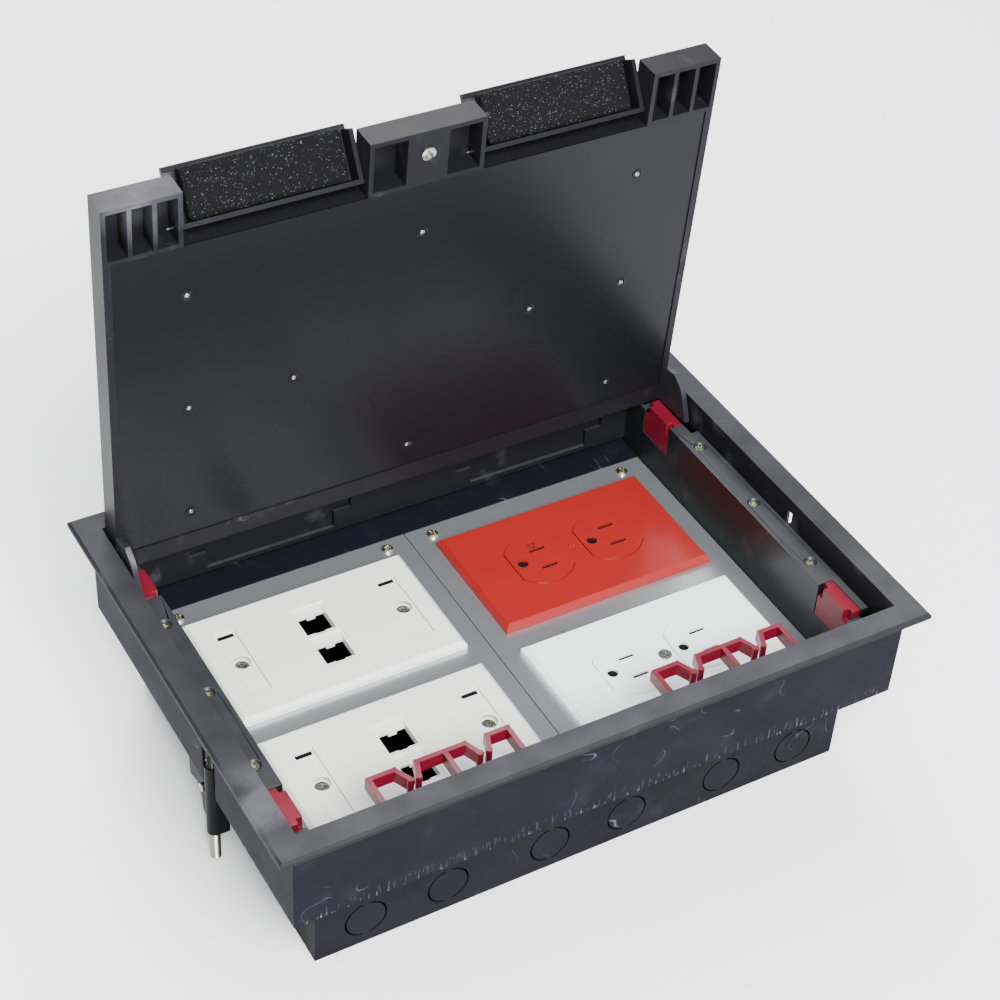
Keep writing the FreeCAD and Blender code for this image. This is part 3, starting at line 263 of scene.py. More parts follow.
    def smudge_and_highlight_patch(self, ground: Ground) -> bpy.types.NodeSocket:
        """Draw the pale patch, which fades out from its middle.

        Args:
            ground: what to draw it with.

        Returns:
            The mask.
        """
        tree, place, cloud = ground.tree, ground.place, ground.cloud
        reach = self.smudge_and_highlight.radius
        far = add(tree, "VectorMath", {"operation": "DISTANCE"}, {0: place, 1: self.smudge_and_highlight.centre()}).outputs[1]
        near = add(tree, "MapRange", {}, {0: far, 1: reach * 0.25, 2: reach, 3: 1.0, 4: 0.0}).outputs[0]
        cloudy = add(tree, "MapRange", {}, {0: cloud, 1: 0.35, 2: 0.65, 3: 0.35, 4: 1.3}).outputs[0]
        return add(tree, "Math", {"operation": "MULTIPLY"}, {0: near, 1: cloudy}).outputs[0]

    def painted_lit_top(self, ground: Ground) -> bpy.types.NodeSocket:
        """Draw painted light: a paler tone on faces that look up, strongest at the front.

        Args:
            ground: what to draw it with.

        Returns:
            The mask.
        """
        tree, cloud = ground.tree, ground.cloud
        level = add(tree, "MapRange", {}, {0: ground.facing, 1: 0.6, 2: 0.95, 3: 0.0, 4: LIT_TOP_LEVEL}).outputs[0]
        cloudy = add(tree, "MapRange", {}, {0: cloud, 1: 0.3, 2: 0.7, 3: 0.7, 4: 1.2}).outputs[0]
        level = add(tree, "Math", {"operation": "MULTIPLY"}, {0: level, 1: cloudy}).outputs[0]
        along = add(tree, "SeparateXYZ", {}, {0: ground.place}).outputs[1]
        front = add(tree, "MapRange", {}, {0: along, 1: LIT_TOP_FRONT, 2: LIT_TOP_BACK, 3: 1.0, 4: 0.55}).outputs[0]
        return add(tree, "Math", {"operation": "MULTIPLY"}, {0: level, 1: front}).outputs[0]

    def lower_edge(self, ground: Ground) -> bpy.types.NodeSocket:
        """Draw upright streaks along the upper box's lower edge, on its walls only.

        Args:
            ground: what to draw it with.

        Returns:
            The mask.
        """
        tree, place = ground.tree, ground.place
        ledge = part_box("upper_box")[0].z / MM
        steep = add(tree, "Math", {"operation": "ABSOLUTE"}, {0: ground.facing}).outputs[0]
        steep = add(tree, "MapRange", {}, {0: steep, 1: 0.2, 2: 0.8, 3: 1.0, 4: 0.0}).outputs[0]
        height = add(tree, "SeparateXYZ", {}, {0: place}).outputs[2]
        near = add(tree, "MapRange", {}, {0: height, 1: ledge + STREAK_HEIGHT, 2: ledge, 3: 0.0, 4: 1.0}).outputs[0]
        above = add(tree, "Math", {"operation": "GREATER_THAN"}, {0: height, 1: ledge - 0.2}).outputs[0]
        near = add(tree, "Math", {"operation": "MULTIPLY"}, {0: near, 1: above}).outputs[0]
        near = add(tree, "Math", {"operation": "MULTIPLY"}, {0: near, 1: steep}).outputs[0]
        upright = add(tree, "Mapping", {}, {"Vector": place, "Scale": (1.0, 1.0, STREAK_DRAW)}).outputs[0]
        streaks = add(tree, "TexNoise", {}, {"Vector": upright, "Scale": 1 / STREAK_WIDTH, "Detail": 4.0}).outputs[0]
        streaks = add(tree, "MapRange", {}, {0: streaks, 1: 0.55, 2: 0.75}).outputs[0]
        return add(tree, "Math", {"operation": "MULTIPLY"}, {0: near, 1: streaks}).outputs[0]


@dataclass(frozen=True)
class OpenCellFoam(Finish):
    """Reticulated polyurethane foam: near-black cells whose thin walls catch the light as specks."""
    rare: float = 0.93          # share of the cells that stay dark

    def material(self) -> bpy.types.Material:
        """Build the foam, with open cells one grain across and a few bright ones."""
        material, tree, place = self.start()
        shader = tree.nodes["Principled BSDF"]
        cells = add(tree, "TexVoronoi", {}, {"Vector": place, "Scale": 1 / self.grain})
        walls = add(tree, "TexVoronoi", {"feature": "DISTANCE_TO_EDGE"}, {"Vector": place, "Scale": 1 / self.grain})
        value = add(tree, "SeparateColor", {}, {0: cells.outputs["Color"]}).outputs[0]
        speck = add(tree, "MapRange", {}, {0: value, 1: self.rare, 2: 1.0}).outputs[0]
        colour = add(tree, "Mix", {"data_type": "RGBA"},
                     {0: speck, 6: linear(self.tone), 7: linear(self.shade)}).outputs[2]
        bump = add(tree, "Bump", {"invert": True}, {"Height": walls.outputs[0], "Distance": self.depth * MM})
        tree.links.new(colour, shader.inputs["Base Color"])
        tree.links.new(bump.outputs[0], shader.inputs["Normal"])
        shader.inputs["Roughness"].default_value = self.roughness
        return material


@dataclass(frozen=True)
class DarkToppedRod(Finish):
    """Zinc-plated thread, near-black and not metallic above its bare lower end."""
    clean: float = 30.0         # height above the base in millimetres up to which the plating shows
    fade: float = 4.0           # half the height over which the near-black part starts

    def material(self) -> bpy.types.Material:
        """Build the plating, near-black above its lower end."""
        material = super().material()
        tree = material.node_tree
        shader = tree.nodes["Principled BSDF"]
        bare = shader.inputs["Base Color"].links[0].from_socket
        place = tree.nodes["Vector Math"].outputs[0]
        height = add(tree, "SeparateXYZ", {}, {0: place}).outputs[2]
        start, end = self.clean - self.fade, self.clean + self.fade
        dark_top = add(tree, "MapRange", {}, {0: height, 1: start, 2: end}).outputs[0]
        colour = add(tree, "Mix", {"data_type": "RGBA"}, {0: dark_top, 6: bare, 7: linear(self.worn)}).outputs[2]
        metal = add(tree, "Math", {"operation": "SUBTRACT"}, {0: 1.0, 1: dark_top}).outputs[0]
        tree.links.new(colour, shader.inputs["Base Color"])
        tree.links.new(metal, shader.inputs["Metallic"])
        return material


# Injection-moulded ABS in a spark-eroded mould: a satin skin that scuffs pale where feet rub it, with painted light
# making its upward faces paler, most at the front.
TRIM = Finish("moulded_abs_trim", "#16161a", "#111114", 0.58, wear=WearAndLight.SCUFFED_LIT_TOP, worn="#4b4b50", grain=0.7,
              specular=0.12, patch=24.0, rub=0.6, smudge_and_highlight=SmudgeAndHighlight("trim_frame", (0.03, 0.14, 1.0), 34.0))
# The same ABS from a smoother mould: a little glossier, scuffed, with painted light making its top paler.
RAIL = Finish("moulded_abs_rail", "#16171a", "#111214", 0.36, wear=WearAndLight.SCUFFED_LIT_TOP, worn="#4c4e53", specular=0.3)
# The same ABS again: dark and satin, marked with fine scratches, with a painted highlight on its left block's top.
LID = Finish("moulded_abs_lid", "#17161c", "#121116", 0.45, wear=WearAndLight.SCUFFED, worn="#55545b", specular=0.12,
             smudge_and_highlight=SmudgeAndHighlight("lid_frame", (0.07, 0.0, 1.0), 24.0))
# Powder-coated steel: a faint orange peel, rubbed to bright streaks along the lower edge.
BOX = Finish("powder_coated_steel", "#14131c", "#0c0b14", 0.6, grain=1.6, depth=0.03, patch=25.0,
             wear=WearAndLight.FLOOR_EDGE, worn="#626370", rub=0.06, specular=0.06)
# Rolled steel sheet with semi-gloss enamel: soft wide reflections of what stands in front of it.
LID_STEEL = Finish("enamelled_steel", "#121318", "#0e0f14", 0.28, patch=60.0, grain=9.0, depth=0.03,
                   specular=0.13)
# Zinc-plated rolled sheet: cold grey metal with a fine lengthwise drawing and cloudy passivation.
PLATED = Finish("zinc_plated_sheet", "#c6cbcd", "#aab0b3", 0.34, metallic=0.85, patch=35.0, grain=0.5,
                stretch=(0.05, 1.0, 1.0), depth=0.004, wear=WearAndLight.SCUFFED, worn="#d5d9db", rub=0.15)
# Gloss-moulded urea wall plates, smooth to the touch and slightly wavy.
RED = Finish("moulded_urea_red", "#8f1f1d", "#861c1b", 0.2, coat=0.2, grain=6.0, depth=0.01)
WHITE = Finish("moulded_urea_white", "#f4f8f7", "#f0f4f4", 0.22, coat=0.2, grain=6.0, depth=0.01)
# Moulded ABS, warmer and more matt than the urea beside it.
DATA = Finish("moulded_abs_white", "#e3e4e0", "#dddeda", 0.38, grain=0.6, depth=0.008)
# Clear-red polycarbonate, which glows at thin edges.
CLIP = Finish("tinted_polycarbonate", "#6c0f24", "#610d1f", 0.3, coat=0.1, through=0.25, grain=4.0, depth=0.01)
# Moulded acetal: waxy, darker and less clear than the clips.
CATCH = Finish("moulded_acetal_red", "#6c1023", "#5e0d1e", 0.35, grain=3.0, depth=0.01, specular=0.3)
# Bright zinc plate on cold-headed screws: small hard highlights.
ZINC = Finish("zinc_plated_screw", "#aeafad", "#8c8d89", 0.24, metallic=1.0, patch=3.0, grain=0.4)
# Yellow-passivated zinc plate: the same highlights, slightly golden.
YELLOW_ZINC = Finish("yellow_zinc_screw", "#cdc9b4", "#a9a48c", 0.26, metallic=1.0, patch=3.0, grain=0.4)
# Plain drawn steel: grey and softly shiny.
STEEL = Finish("plain_steel", "#8b8c90", "#74757a", 0.3, metallic=1.0, patch=6.0, grain=0.5)
# Rolled thread, zinc-plated, near-black above its lower end; its worn tone is that near-black.
ROD = DarkToppedRod("dark_topped_rod", "#b5b2a8", "#98958a", 0.34, metallic=1.0, patch=3.0, grain=0.4, worn="#0b0b0d")
# Turned brass: warm and softly shiny.
BRASS = Finish("turned_brass", "#b89a56", "#a78a4a", 0.3, metallic=1.0, patch=6.0, grain=0.3)
# Stamped aluminium, painted dark and rubbed bright in places.
ARM = Finish("stamped_aluminium", "#3d3e44", "#303137", 0.36, metallic=0.6, wear=WearAndLight.SCUFFED, worn="#c8c8cc")
# Moulded black nylon: a dull dark skin.
CLAMP = Finish("moulded_nylon", "#070709", "#050506", 0.45, grain=1.0, specular=0.08)
# Tufted carpet: matt loops. The real pile is finer than the 1.4 mm drawn, which shows in the render.
CARPET = Finish("tufted_carpet", "#2f3036", "#222328", 0.95, grain=1.4, depth=0.5, patch=2.5, specular=0.2)
# The open cells are 0.45 mm across, as in a fine draught-sealing foam.
FOAM = OpenCellFoam("open_cell_foam", "#08080a", "#46464c", 0.85, grain=0.45, depth=0.3, specular=0.15)
# Matt painted board under the box: pale and without grain.
FLOOR = Finish("matt_floor", "#f6f6f7", "#f4f4f5", 0.8, patch=900.0, grain=80.0, depth=0.001, specular=0.2)
# Moulding in unlit depth behind an opening: the same ABS, matt, so that nothing glints in it.
DARK = Finish("unlit_moulding", "#101012", "#0c0c0e", 0.8, specular=0.1)
# Pad-printed ink: flat and dark.
MARK = Finish("printed_mark", "#2a0b0a", "#240a09", 0.5)

NODE_FINISHES = {
    "trim_frame": TRIM, "left_rail": RAIL, "right_rail": RAIL,
    "upper_box": BOX, "lower_box": BOX, "front_support_bar": BOX, "rear_support_bar": BOX, "partition": BOX,
    "data_mounting_plate": PLATED, "power_mounting_plate": PLATED,
    "front_left_catch": CATCH, "front_right_catch": CATCH, "rear_left_catch": CATCH, "rear_right_catch": CATCH,
    "red_wall_plate": RED, "red_receptacle": RED, "white_wall_plate": WHITE, "white_receptacle": WHITE,
    "red_strap": STEEL, "white_strap": STEEL, "strap_screws": ZINC,
    "front_data_plate": DATA, "rear_data_plate": DATA,
    "left_cable_clip": CLIP, "right_cable_clip": CLIP,
    "lid_frame": LID, "left_flap": LID, "right_flap": LID, "lid_steel_plate": LID_STEEL,
    "hinge_pins": STEEL, "flap_pins": STEEL, "left_hinge_arm": ARM, "right_hinge_arm": ARM,
    "left_clamp_jaw": CLAMP, "right_clamp_jaw": CLAMP, "left_jack_nut": BRASS, "right_jack_nut": BRASS,
}
# Width in millimetres of the small rounding on each CAD piece's edges
ROUNDED = {
    "trim_frame": 0.5, "left_rail": 0.3, "right_rail": 0.3, "upper_box": 0.3, "lower_box": 0.4,
    "front_left_catch": 0.4, "front_right_catch": 0.4, "rear_left_catch": 0.4, "rear_right_catch": 0.4,
    "red_receptacle": 0.3, "white_receptacle": 0.3,
    "front_data_plate": 0.4, "rear_data_plate": 0.4, "left_cable_clip": 0.25, "right_cable_clip": 0.25,
    "lid_frame": 0.5, "left_flap": 0.4, "right_flap": 0.4, "left_hinge_arm": 0.3, "right_hinge_arm": 0.3,
    "left_clamp_jaw": 0.6, "right_clamp_jaw": 0.6,
}


# ---------------------------------------------------------------- reading the frame, making meshes

def vertices(node: str) -> np.ndarray:
    """Read a CAD node's points.

    Args:
        node: the node's name.

    Returns:
        An array of points, in metres.
    """
    mesh = frame["nodes"][node].data
    points = np.zeros(len(mesh.vertices) * 3, np.float32)
    mesh.vertices.foreach_get("co", points)
    return points.reshape(-1, 3).astype(float)


def solids(node: str) -> list[np.ndarray]:
    """Split a CAD node's points into its separate solids.

    Args:
        node: the node's name.

    Returns:
        One array of points for each solid, from the lowest x, then y.
    """
    mesh = bmesh.new()
    mesh.from_mesh(frame["nodes"][node].data)
    bmesh.ops.remove_doubles(mesh, verts=mesh.verts, dist=TOUCHING)
    left, found = set(mesh.verts), []
    while left:
        stack, group = [left.pop()], []
        while stack:
            vertex = stack.pop()
            group.append(tuple(vertex.co))
            for edge in vertex.link_edges:
                other = edge.other_vert(vertex)
                if other in left:
                    left.discard(other)
                    stack.append(other)
        found.append(np.array(group))
    mesh.free()
    return sorted(found, key=lambda g: (round(g[:, 0].min(), 4), round(g[:, 1].min(), 4)))


def finished(name: str, mesh: bmesh.types.BMesh, finish: Finish, body: str, node: str = "",
             smooth: float = 40.0) -> bpy.types.Object:
    """Turn a mesh into a dressed piece that rides on its body.

    Args:
        name: the piece's name.
        mesh: its mesh, in metres in the frame, which is freed.
        finish: its finish.
        body: the CAD body that it rides on.
        node: the CAD node that it stands for, if any.
        smooth: the angle in degrees below which neighbouring faces are shaded as one.

    Returns:
        The new object.
    """
    bmesh.ops.recalc_face_normals(mesh, faces=mesh.faces)
    for face in mesh.faces:
        face.smooth = True
    for edge in mesh.edges:
        edge.smooth = len(edge.link_faces) == 2 and edge.calc_face_angle(0) < math.radians(smooth)
    data = bpy.data.meshes.new(name)
    mesh.to_mesh(data)
    mesh.free()
    piece = bpy.data.objects.new(name, data)
    bpy.context.scene.collection.objects.link(piece)
    data.materials.append(finish_material(finish))
    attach(piece, body)
    if node:
        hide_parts(node)
    log.info("%s: %d faces on %s", name, len(data.polygons), body)
    return piece


MADE: dict[str, bpy.types.Material] = {}


def finish_material(finish: Finish) -> bpy.types.Material:
    """Return a finish's material, built once."""
    if finish.name not in MADE:
        MADE[finish.name] = finish.material()
    return MADE[finish.name]


def turned(mesh: bmesh.types.BMesh, profile: list[tuple[float, float]], place: Matrix, segments: int = 32) -> None:
    """Turn a closed solid of revolution on a lathe.

    Args:
        mesh: the mesh to add it to.
        profile: (radius, height) from the bottom of the axis to its top, in metres.
        place: where the axis's zero stands and how it points.
        segments: steps round the axis.
    """
    rings = []
    for radius, height in profile:
        if radius < 1e-9:
            rings.append([mesh.verts.new(place @ Vector((0, 0, height)))])
            continue
        rings.append([mesh.verts.new(place @ Vector((radius * math.cos(a), radius * math.sin(a), height)))
                      for a in (2 * math.pi * i / segments for i in range(segments))])
    for low, high in zip(rings, rings[1:]):
        for i in range(segments):
            j = (i + 1) % segments
            corners = [low[i % len(low)], low[j % len(low)], high[j % len(high)], high[i % len(high)]]
            mesh.faces.new(list(dict.fromkeys(corners)))


def aimed(point: Vector, axis: Vector, turn: float = 0.0) -> Matrix:
    """Return the matrix that stands +Z along an axis at a point.

    Args:
        point: where the origin goes.
        axis: where +Z points.
        turn: degrees round the axis.
    """
    spin = Matrix.Rotation(math.radians(turn), 4, "Z")
    return Matrix.Translation(point) @ axis.to_track_quat("Z", "Y").to_matrix().to_4x4() @ spin


# ---------------------------------------------------------------- fasteners

class Head(Enum):
    """The shape of a screw's head."""
    PAN = "pan"
    FLUSH = "flush"


@dataclass
class CrossScrews:
    """A group of cross-recess screws that stands for one CAD node. Lengths are in millimetres."""
    node: str
    body: str
    finish: Finish
    head: Head
    axis: Vector = field(default_factory=lambda: UP.copy())
    recess: float = 1.1
    arm: float = 0.62           # reach of the cross, as a share of the head's radius
    slot: float = 0.17          # half width of its arms, as a share of the head's radius
    rings: int = 14
    segments: int = 40
    sunk: float = 0.0           # how far the head sits below its CAD place
    share: float = 1.0          # the head's radius, as a share of the CAD head's
    pick: Optional[int] = None  # which of the node's screws to make, from the front; all if left out
    name: str = "cross_head"

    def build(self) -> bpy.types.Object:
        """Make every screw where its CAD solid is.

        Returns:
            The piece.
        """
        mesh, chance = bmesh.new(), random.Random(self.node)
        groups = solids(self.node)
        for points in groups if self.pick is None else [groups[self.pick]]:
            along = points @ np.array(self.axis)
            across = points - np.outer(along, np.array(self.axis))
            top, bottom = along.max(), along.min()
            middle = (across.max(axis=0) + across.min(axis=0)) / 2
            reach = np.linalg.norm(across - middle, axis=1)
            seat = along[reach > reach.max() * 0.98].min()
            shank = reach[along < bottom + 1e-5].max()
            top -= self.sunk * MM
            centre = Vector(middle) + self.axis * top
            self.screw(mesh, aimed(centre, self.axis, chance.uniform(0, 90)), reach.max() * self.share, shank,
                       max(top - seat, 0.4 * MM), top - bottom)
        return finished("%s_%s" % (self.node, self.name), mesh, self.finish, self.body, self.node)

    def screw(self, mesh: bmesh.types.BMesh, place: Matrix, radius: float, shank: float, height: float,
              length: float) -> None:
        """Add one screw, with its top at the place's origin.

        Args:
            mesh: the mesh to add it to.
            place: the top of the head and its direction.
            radius: the head's radius in metres.
            shank: the shank's radius in metres.
            height: the head's height in metres.
            length: the whole length in metres.
        """
        rise = 0.45 * height if self.head is Head.PAN else 0.0
        grid = []
        for ring in range(self.rings + 1):
            share = ring / self.rings
            row = []
            for step in range(self.segments):
                angle = 2 * math.pi * step / self.segments
                x, y = share * math.cos(angle), share * math.sin(angle)
                low, high = sorted((abs(x), abs(y)))
                depth = self.recess * MM * (1 - 0.6 * high / self.arm) if (
                    low < self.slot and high < self.arm) else 0.0
                row.append(mesh.verts.new(place @ Vector((x * radius, y * radius,
                                                          -rise * share ** 2.4 - depth))))
            grid.append(row)
        low_rim = height if self.head is Head.PAN else 0.0
        for ring_radius, drop in ((radius, low_rim), (shank, max(height, 1.6 * MM)), (shank, length - shank / 2),
                                  (shank / 3, length)):
            grid.append([mesh.verts.new(place @ Vector((ring_radius * math.cos(a), ring_radius * math.sin(a), -drop)))
                         for a in (2 * math.pi * i / self.segments for i in range(self.segments))])
        for low, high in zip(grid[1:], grid[2:]):
            for i in range(self.segments):
                j = (i + 1) % self.segments
                mesh.faces.new((low[i], low[j], high[j], high[i]))
        mesh.faces.new(grid[1])
        mesh.faces.new(grid[-1][::-1])
        bmesh.ops.delete(mesh, geom=grid[0], context="VERTS")


@dataclass
class LidRivets:
    """Domed rivet heads in dished seats under the lid."""
    dish: float = 2.6           # mm, radius of the painted dish
    dome: float = 1.15          # mm, radius of the bright dome inside it

    def build(self) -> None:
        """Make the ten rivets, facing as the lid's underside faces at rest."""
        normal = lid_normal()
        dishes, domes = bmesh.new(), bmesh.new()
        for points in solids("lid_rivets"):
            along = points @ np.array(normal)
            top = along.max()
            face = points[along > top - 1e-5]
            place = aimed(Vector((face.max(axis=0) + face.min(axis=0)) / 2), normal)
            length, wide, r = top - along.min(), self.dish * MM, self.dome * MM
            turned(dishes, [(0, -length), (1.4 * MM, -length), (1.4 * MM, -0.9 * MM), (wide, -0.9 * MM),
                            (wide, -0.6 * MM), (wide * 0.85, -0.42 * MM), (r * 1.35, -0.62 * MM),
                            (0, -0.7 * MM)], place)
            turned(domes, [(0, -0.8 * MM), (r, -0.8 * MM), (r, -0.5 * MM), (r * 0.75, -0.22 * MM),
                           (r * 0.4, -0.08 * MM), (0, -0.03 * MM)], place, 20)
        finished("lid_rivet_dishes", dishes, LID_STEEL, "lid", "lid_rivets")
        finished("lid_rivet_domes", domes, ZINC, "lid", "lid_rivets")


@dataclass
class ThreadedJack:
    """A floor clamp's threaded rod with its round head. Lengths are in millimetres."""
    side: str
    pitch: float = 0.8
    thread: float = 0.42        # depth of the thread
    head: float = 3.0           # height of the head
    steps: int = 6              # rings in one turn of the thread
    segments: int = 20

    def build(self) -> None:
        """Make the rod with a helical thread up to its head."""
        node = self.side + "_jack_screw"
        low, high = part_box(node)
        middle = (low + high) / 2
        points = vertices(node)
        radius = np.linalg.norm(points[points[:, 2] < low.z + 1e-5][:, :2] - np.array(middle)[:2], axis=1).max()
        head = self.head * MM
        mesh = bmesh.new()
        rings = []
        count = int((high.z - head - low.z) / (self.pitch * MM) * self.steps)
        for ring in range(count + 1):
            z = low.z + (high.z - head - low.z) * ring / count
            row = []
            for step in range(self.segments):
                angle = 2 * math.pi * step / self.segments
                phase = (z / (self.pitch * MM) - step / self.segments) % 1.0
                crest = 1 - abs(2 * phase - 1)
                taper = min(1.0, (z - low.z) / MM + 0.55)
                r = (radius - self.thread * MM * (1 - crest)) * taper
                row.append(mesh.verts.new((middle.x + r * math.cos(angle), middle.y + r * math.sin(angle), z)))
            rings.append(row)
        for a, b in zip(rings, rings[1:]):
            for i in range(self.segments):
                j = (i + 1) % self.segments
                mesh.faces.new((a[i], a[j], b[j], b[i]))
        mesh.faces.new(rings[0][::-1])
        mesh.faces.new(rings[-1])
        wide = (high.x - low.x) / 2
        turned(mesh, [(0, -head), (wide, -head), (wide, -0.5 * MM), (wide - 0.5 * MM, 0), (1.8 * MM, 0),
                      (1.6 * MM, -1.6 * MM), (0, -1.9 * MM)],
               Matrix.Translation((middle.x, middle.y, high.z)), 28)
        finished(self.side + "_threaded_rod", mesh, ROD, node, node, 25.0)


# ---------------------------------------------------------------- soft pieces

def lid_normal() -> Vector:
    """Return the way that the lid's underside faces at rest, from the shape of its infill."""
    return slab("lid_infill")[3] * -1


def slab(node: str) -> tuple[Vector, Vector, Vector, Vector]:
    """Measure a CAD block that stands tilted about X.

    Args:
        node: the block's name.

    Returns:
        Its middle, its half sizes (x, long, thin) and the unit directions of its long and thin sides.
    """
    points = vertices(node)
    ends = points[points[:, 0] < points[:, 0].min() + 1e-5]
    corners = np.unique(np.round(ends[:, 1:], 6), axis=0)
    first = corners[0]
    others = sorted(corners[1:], key=lambda c: np.linalg.norm(c - first))
    thin, long_ = others[0] - first, others[1] - first
    low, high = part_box(node)
    size = Vector(((high.x - low.x) / 2, np.linalg.norm(long_) / 2, np.linalg.norm(thin) / 2))
    up = Vector((0, *long_)).normalized()
    up = up if up.z > 0 else -up
    across = UP.cross(Vector((1, 0, 0))) if abs(up.z) < 1e-9 else Vector((1, 0, 0)).cross(up)
    across = across if across.y > 0 else -across
    return (low + high) / 2, size, up, across


@dataclass
class Pad:
    """A soft block rebuilt as a crowned, slightly uneven form. Lengths are in millimetres."""
    node: str
    name: str
    body: str
    finish: Finish
    cell: float
    crown: float                # how far the faces swell towards the middle
    rough: float                # height of the surface's unevenness
    grain: float                # width of that unevenness
    corner: float = 1.6

    def build(self) -> bpy.types.Object:
        """Make the pad inside its CAD block.

        Returns:
            The piece.
        """
        middle, half, up, across = slab(self.node)
        right = Vector((1, 0, 0))
        half = half - Vector((1, 1, 1)) * (self.rough * MM)
        counts = [max(3, round(2 * side / (self.cell * MM))) for side in half]
        mesh = bmesh.new()
        for fixed in range(3):
            u, v = [i for i in range(3) if i != fixed]
            for sign in (-1, 1):
                rows = []
                for i in range(counts[u] + 1):
                    row = []
                    for j in range(counts[v] + 1):
                        point = [0.0, 0.0, 0.0]
                        point[fixed] = sign
                        point[u], point[v] = 2 * i / counts[u] - 1, 2 * j / counts[v] - 1
                        row.append(mesh.verts.new(self.shaped(Vector(point), half)))
                    rows.append(row)
                for a, b in zip(rows, rows[1:]):
                    for j in range(counts[v]):
                        mesh.faces.new((a[j], a[j + 1], b[j + 1], b[j]))
        bmesh.ops.remove_doubles(mesh, verts=mesh.verts, dist=TOUCHING)
        bmesh.ops.recalc_face_normals(mesh, faces=mesh.faces)
        mesh.normal_update()
        moves = {}
        for vertex in mesh.verts:
            lump = noise.noise(vertex.co / (self.grain * MM)) * 0.65 + noise.noise(
                vertex.co / (self.grain * 0.4 * MM)) * 0.35
            moves[vertex] = vertex.normal * (lump * self.rough * MM)
        for vertex, move in moves.items():
            vertex.co += move
        turn = Matrix((right, up, across)).transposed()
        for vertex in mesh.verts:
            vertex.co = middle + turn @ vertex.co
        return finished(self.name, mesh, self.finish, self.body, self.node, 180.0)

    def shaped(self, point: Vector, half: Vector) -> Vector:
        """Place one point of a unit cube's skin on the pad, with rounded corners and hollow sides.

        Args:
            point: the point on the cube from -1 to 1.
            half: the pad's half sizes in metres.

        Returns:
            The point on the pad about its middle.
        """
        radius = min(self.corner * MM, min(half) * 0.9)
        full = Vector(p * h for p, h in zip(point, half))
        inner = Vector(max(-h + radius, min(h - radius, c)) for c, h in zip(full, half))
        out = full - inner
        rounded = inner + (out.normalized() * radius if out.length > 1e-9 else out)
        dome = (1 - point.x ** 2) * (1 - point.y ** 2)
        rounded.z -= math.copysign(self.crown * MM, rounded.z) * (1 - dome) * (abs(point.z) > 0.999)
        return rounded


# ---------------------------------------------------------------- data plates and marks

@dataclass
class LabelCovers:
    """The four snap-in label strips, each with a screw hole and a prising slot. Lengths are in millimetres."""
    hole: float = 4.1
    slot_width: float = 2.3
    slot_length: float = 8.0
    gap: float = 0.15           # between a strip and its recess
    sunk: float = 0.3           # top of a strip below its CAD place
    slot_inset: float = 2.4
    segments: int = 32

    def build(self) -> None:
        """Make the strips where the CAD covers are."""
        mesh = bmesh.new()
        for points in solids("label_covers"):
            low, high = Vector(points.min(axis=0)), Vector(points.max(axis=0))
            self.strip(mesh, low, high)
        bmesh.ops.remove_doubles(mesh, verts=mesh.verts, dist=1e-7)
        piece = finished("label_strips", mesh, DATA, "box", "label_covers", 30.0)
        rounded(piece, 0.12)

    def strip(self, mesh: bmesh.types.BMesh, low: Vector, high: Vector) -> None:
        """Add one strip between two corners.

        Args:
            mesh: the mesh to add it to.
            low: its lowest corner.
            high: its highest corner.
        """
        middle, half = (low + high) / 2, (high - low) / 2 - Vector((self.gap, self.gap, 0)) * MM
        slot_y = half.y - self.slot_inset * MM
        wide, tall = self.slot_length * MM / 2, self.slot_width * MM / 2
        border = [(-half.x, -half.y), (half.x, -half.y), (half.x, half.y), (-half.x, half.y)]
        slot = [(-wide, slot_y - tall), (wide, slot_y - tall), (wide, slot_y + tall), (-wide, slot_y + tall)]
        ring = [(self.hole * MM * math.cos(a), self.hole * MM * math.sin(a))
                for a in (2 * math.pi * i / self.segments for i in range(self.segments))]
        flat = bmesh.new()
        for loop in (border, slot, ring):
            corners = [flat.verts.new((middle.x + x, middle.y + y, low.z)) for x, y in loop]
            for a, b in zip(corners, corners[1:] + corners[:1]):
                flat.edges.new((a, b))
        bmesh.ops.triangle_fill(flat, use_beauty=True, edges=flat.edges)
        made = bmesh.ops.extrude_face_region(flat, geom=flat.faces[:])
        for item in made["geom"]:
            if isinstance(item, bmesh.types.BMVert):
                item.co.z = high.z - self.sunk * MM
        data = bpy.data.meshes.new("strip")
        flat.to_mesh(data)
        flat.free()
        mesh.from_mesh(data)
        bpy.data.meshes.remove(data)


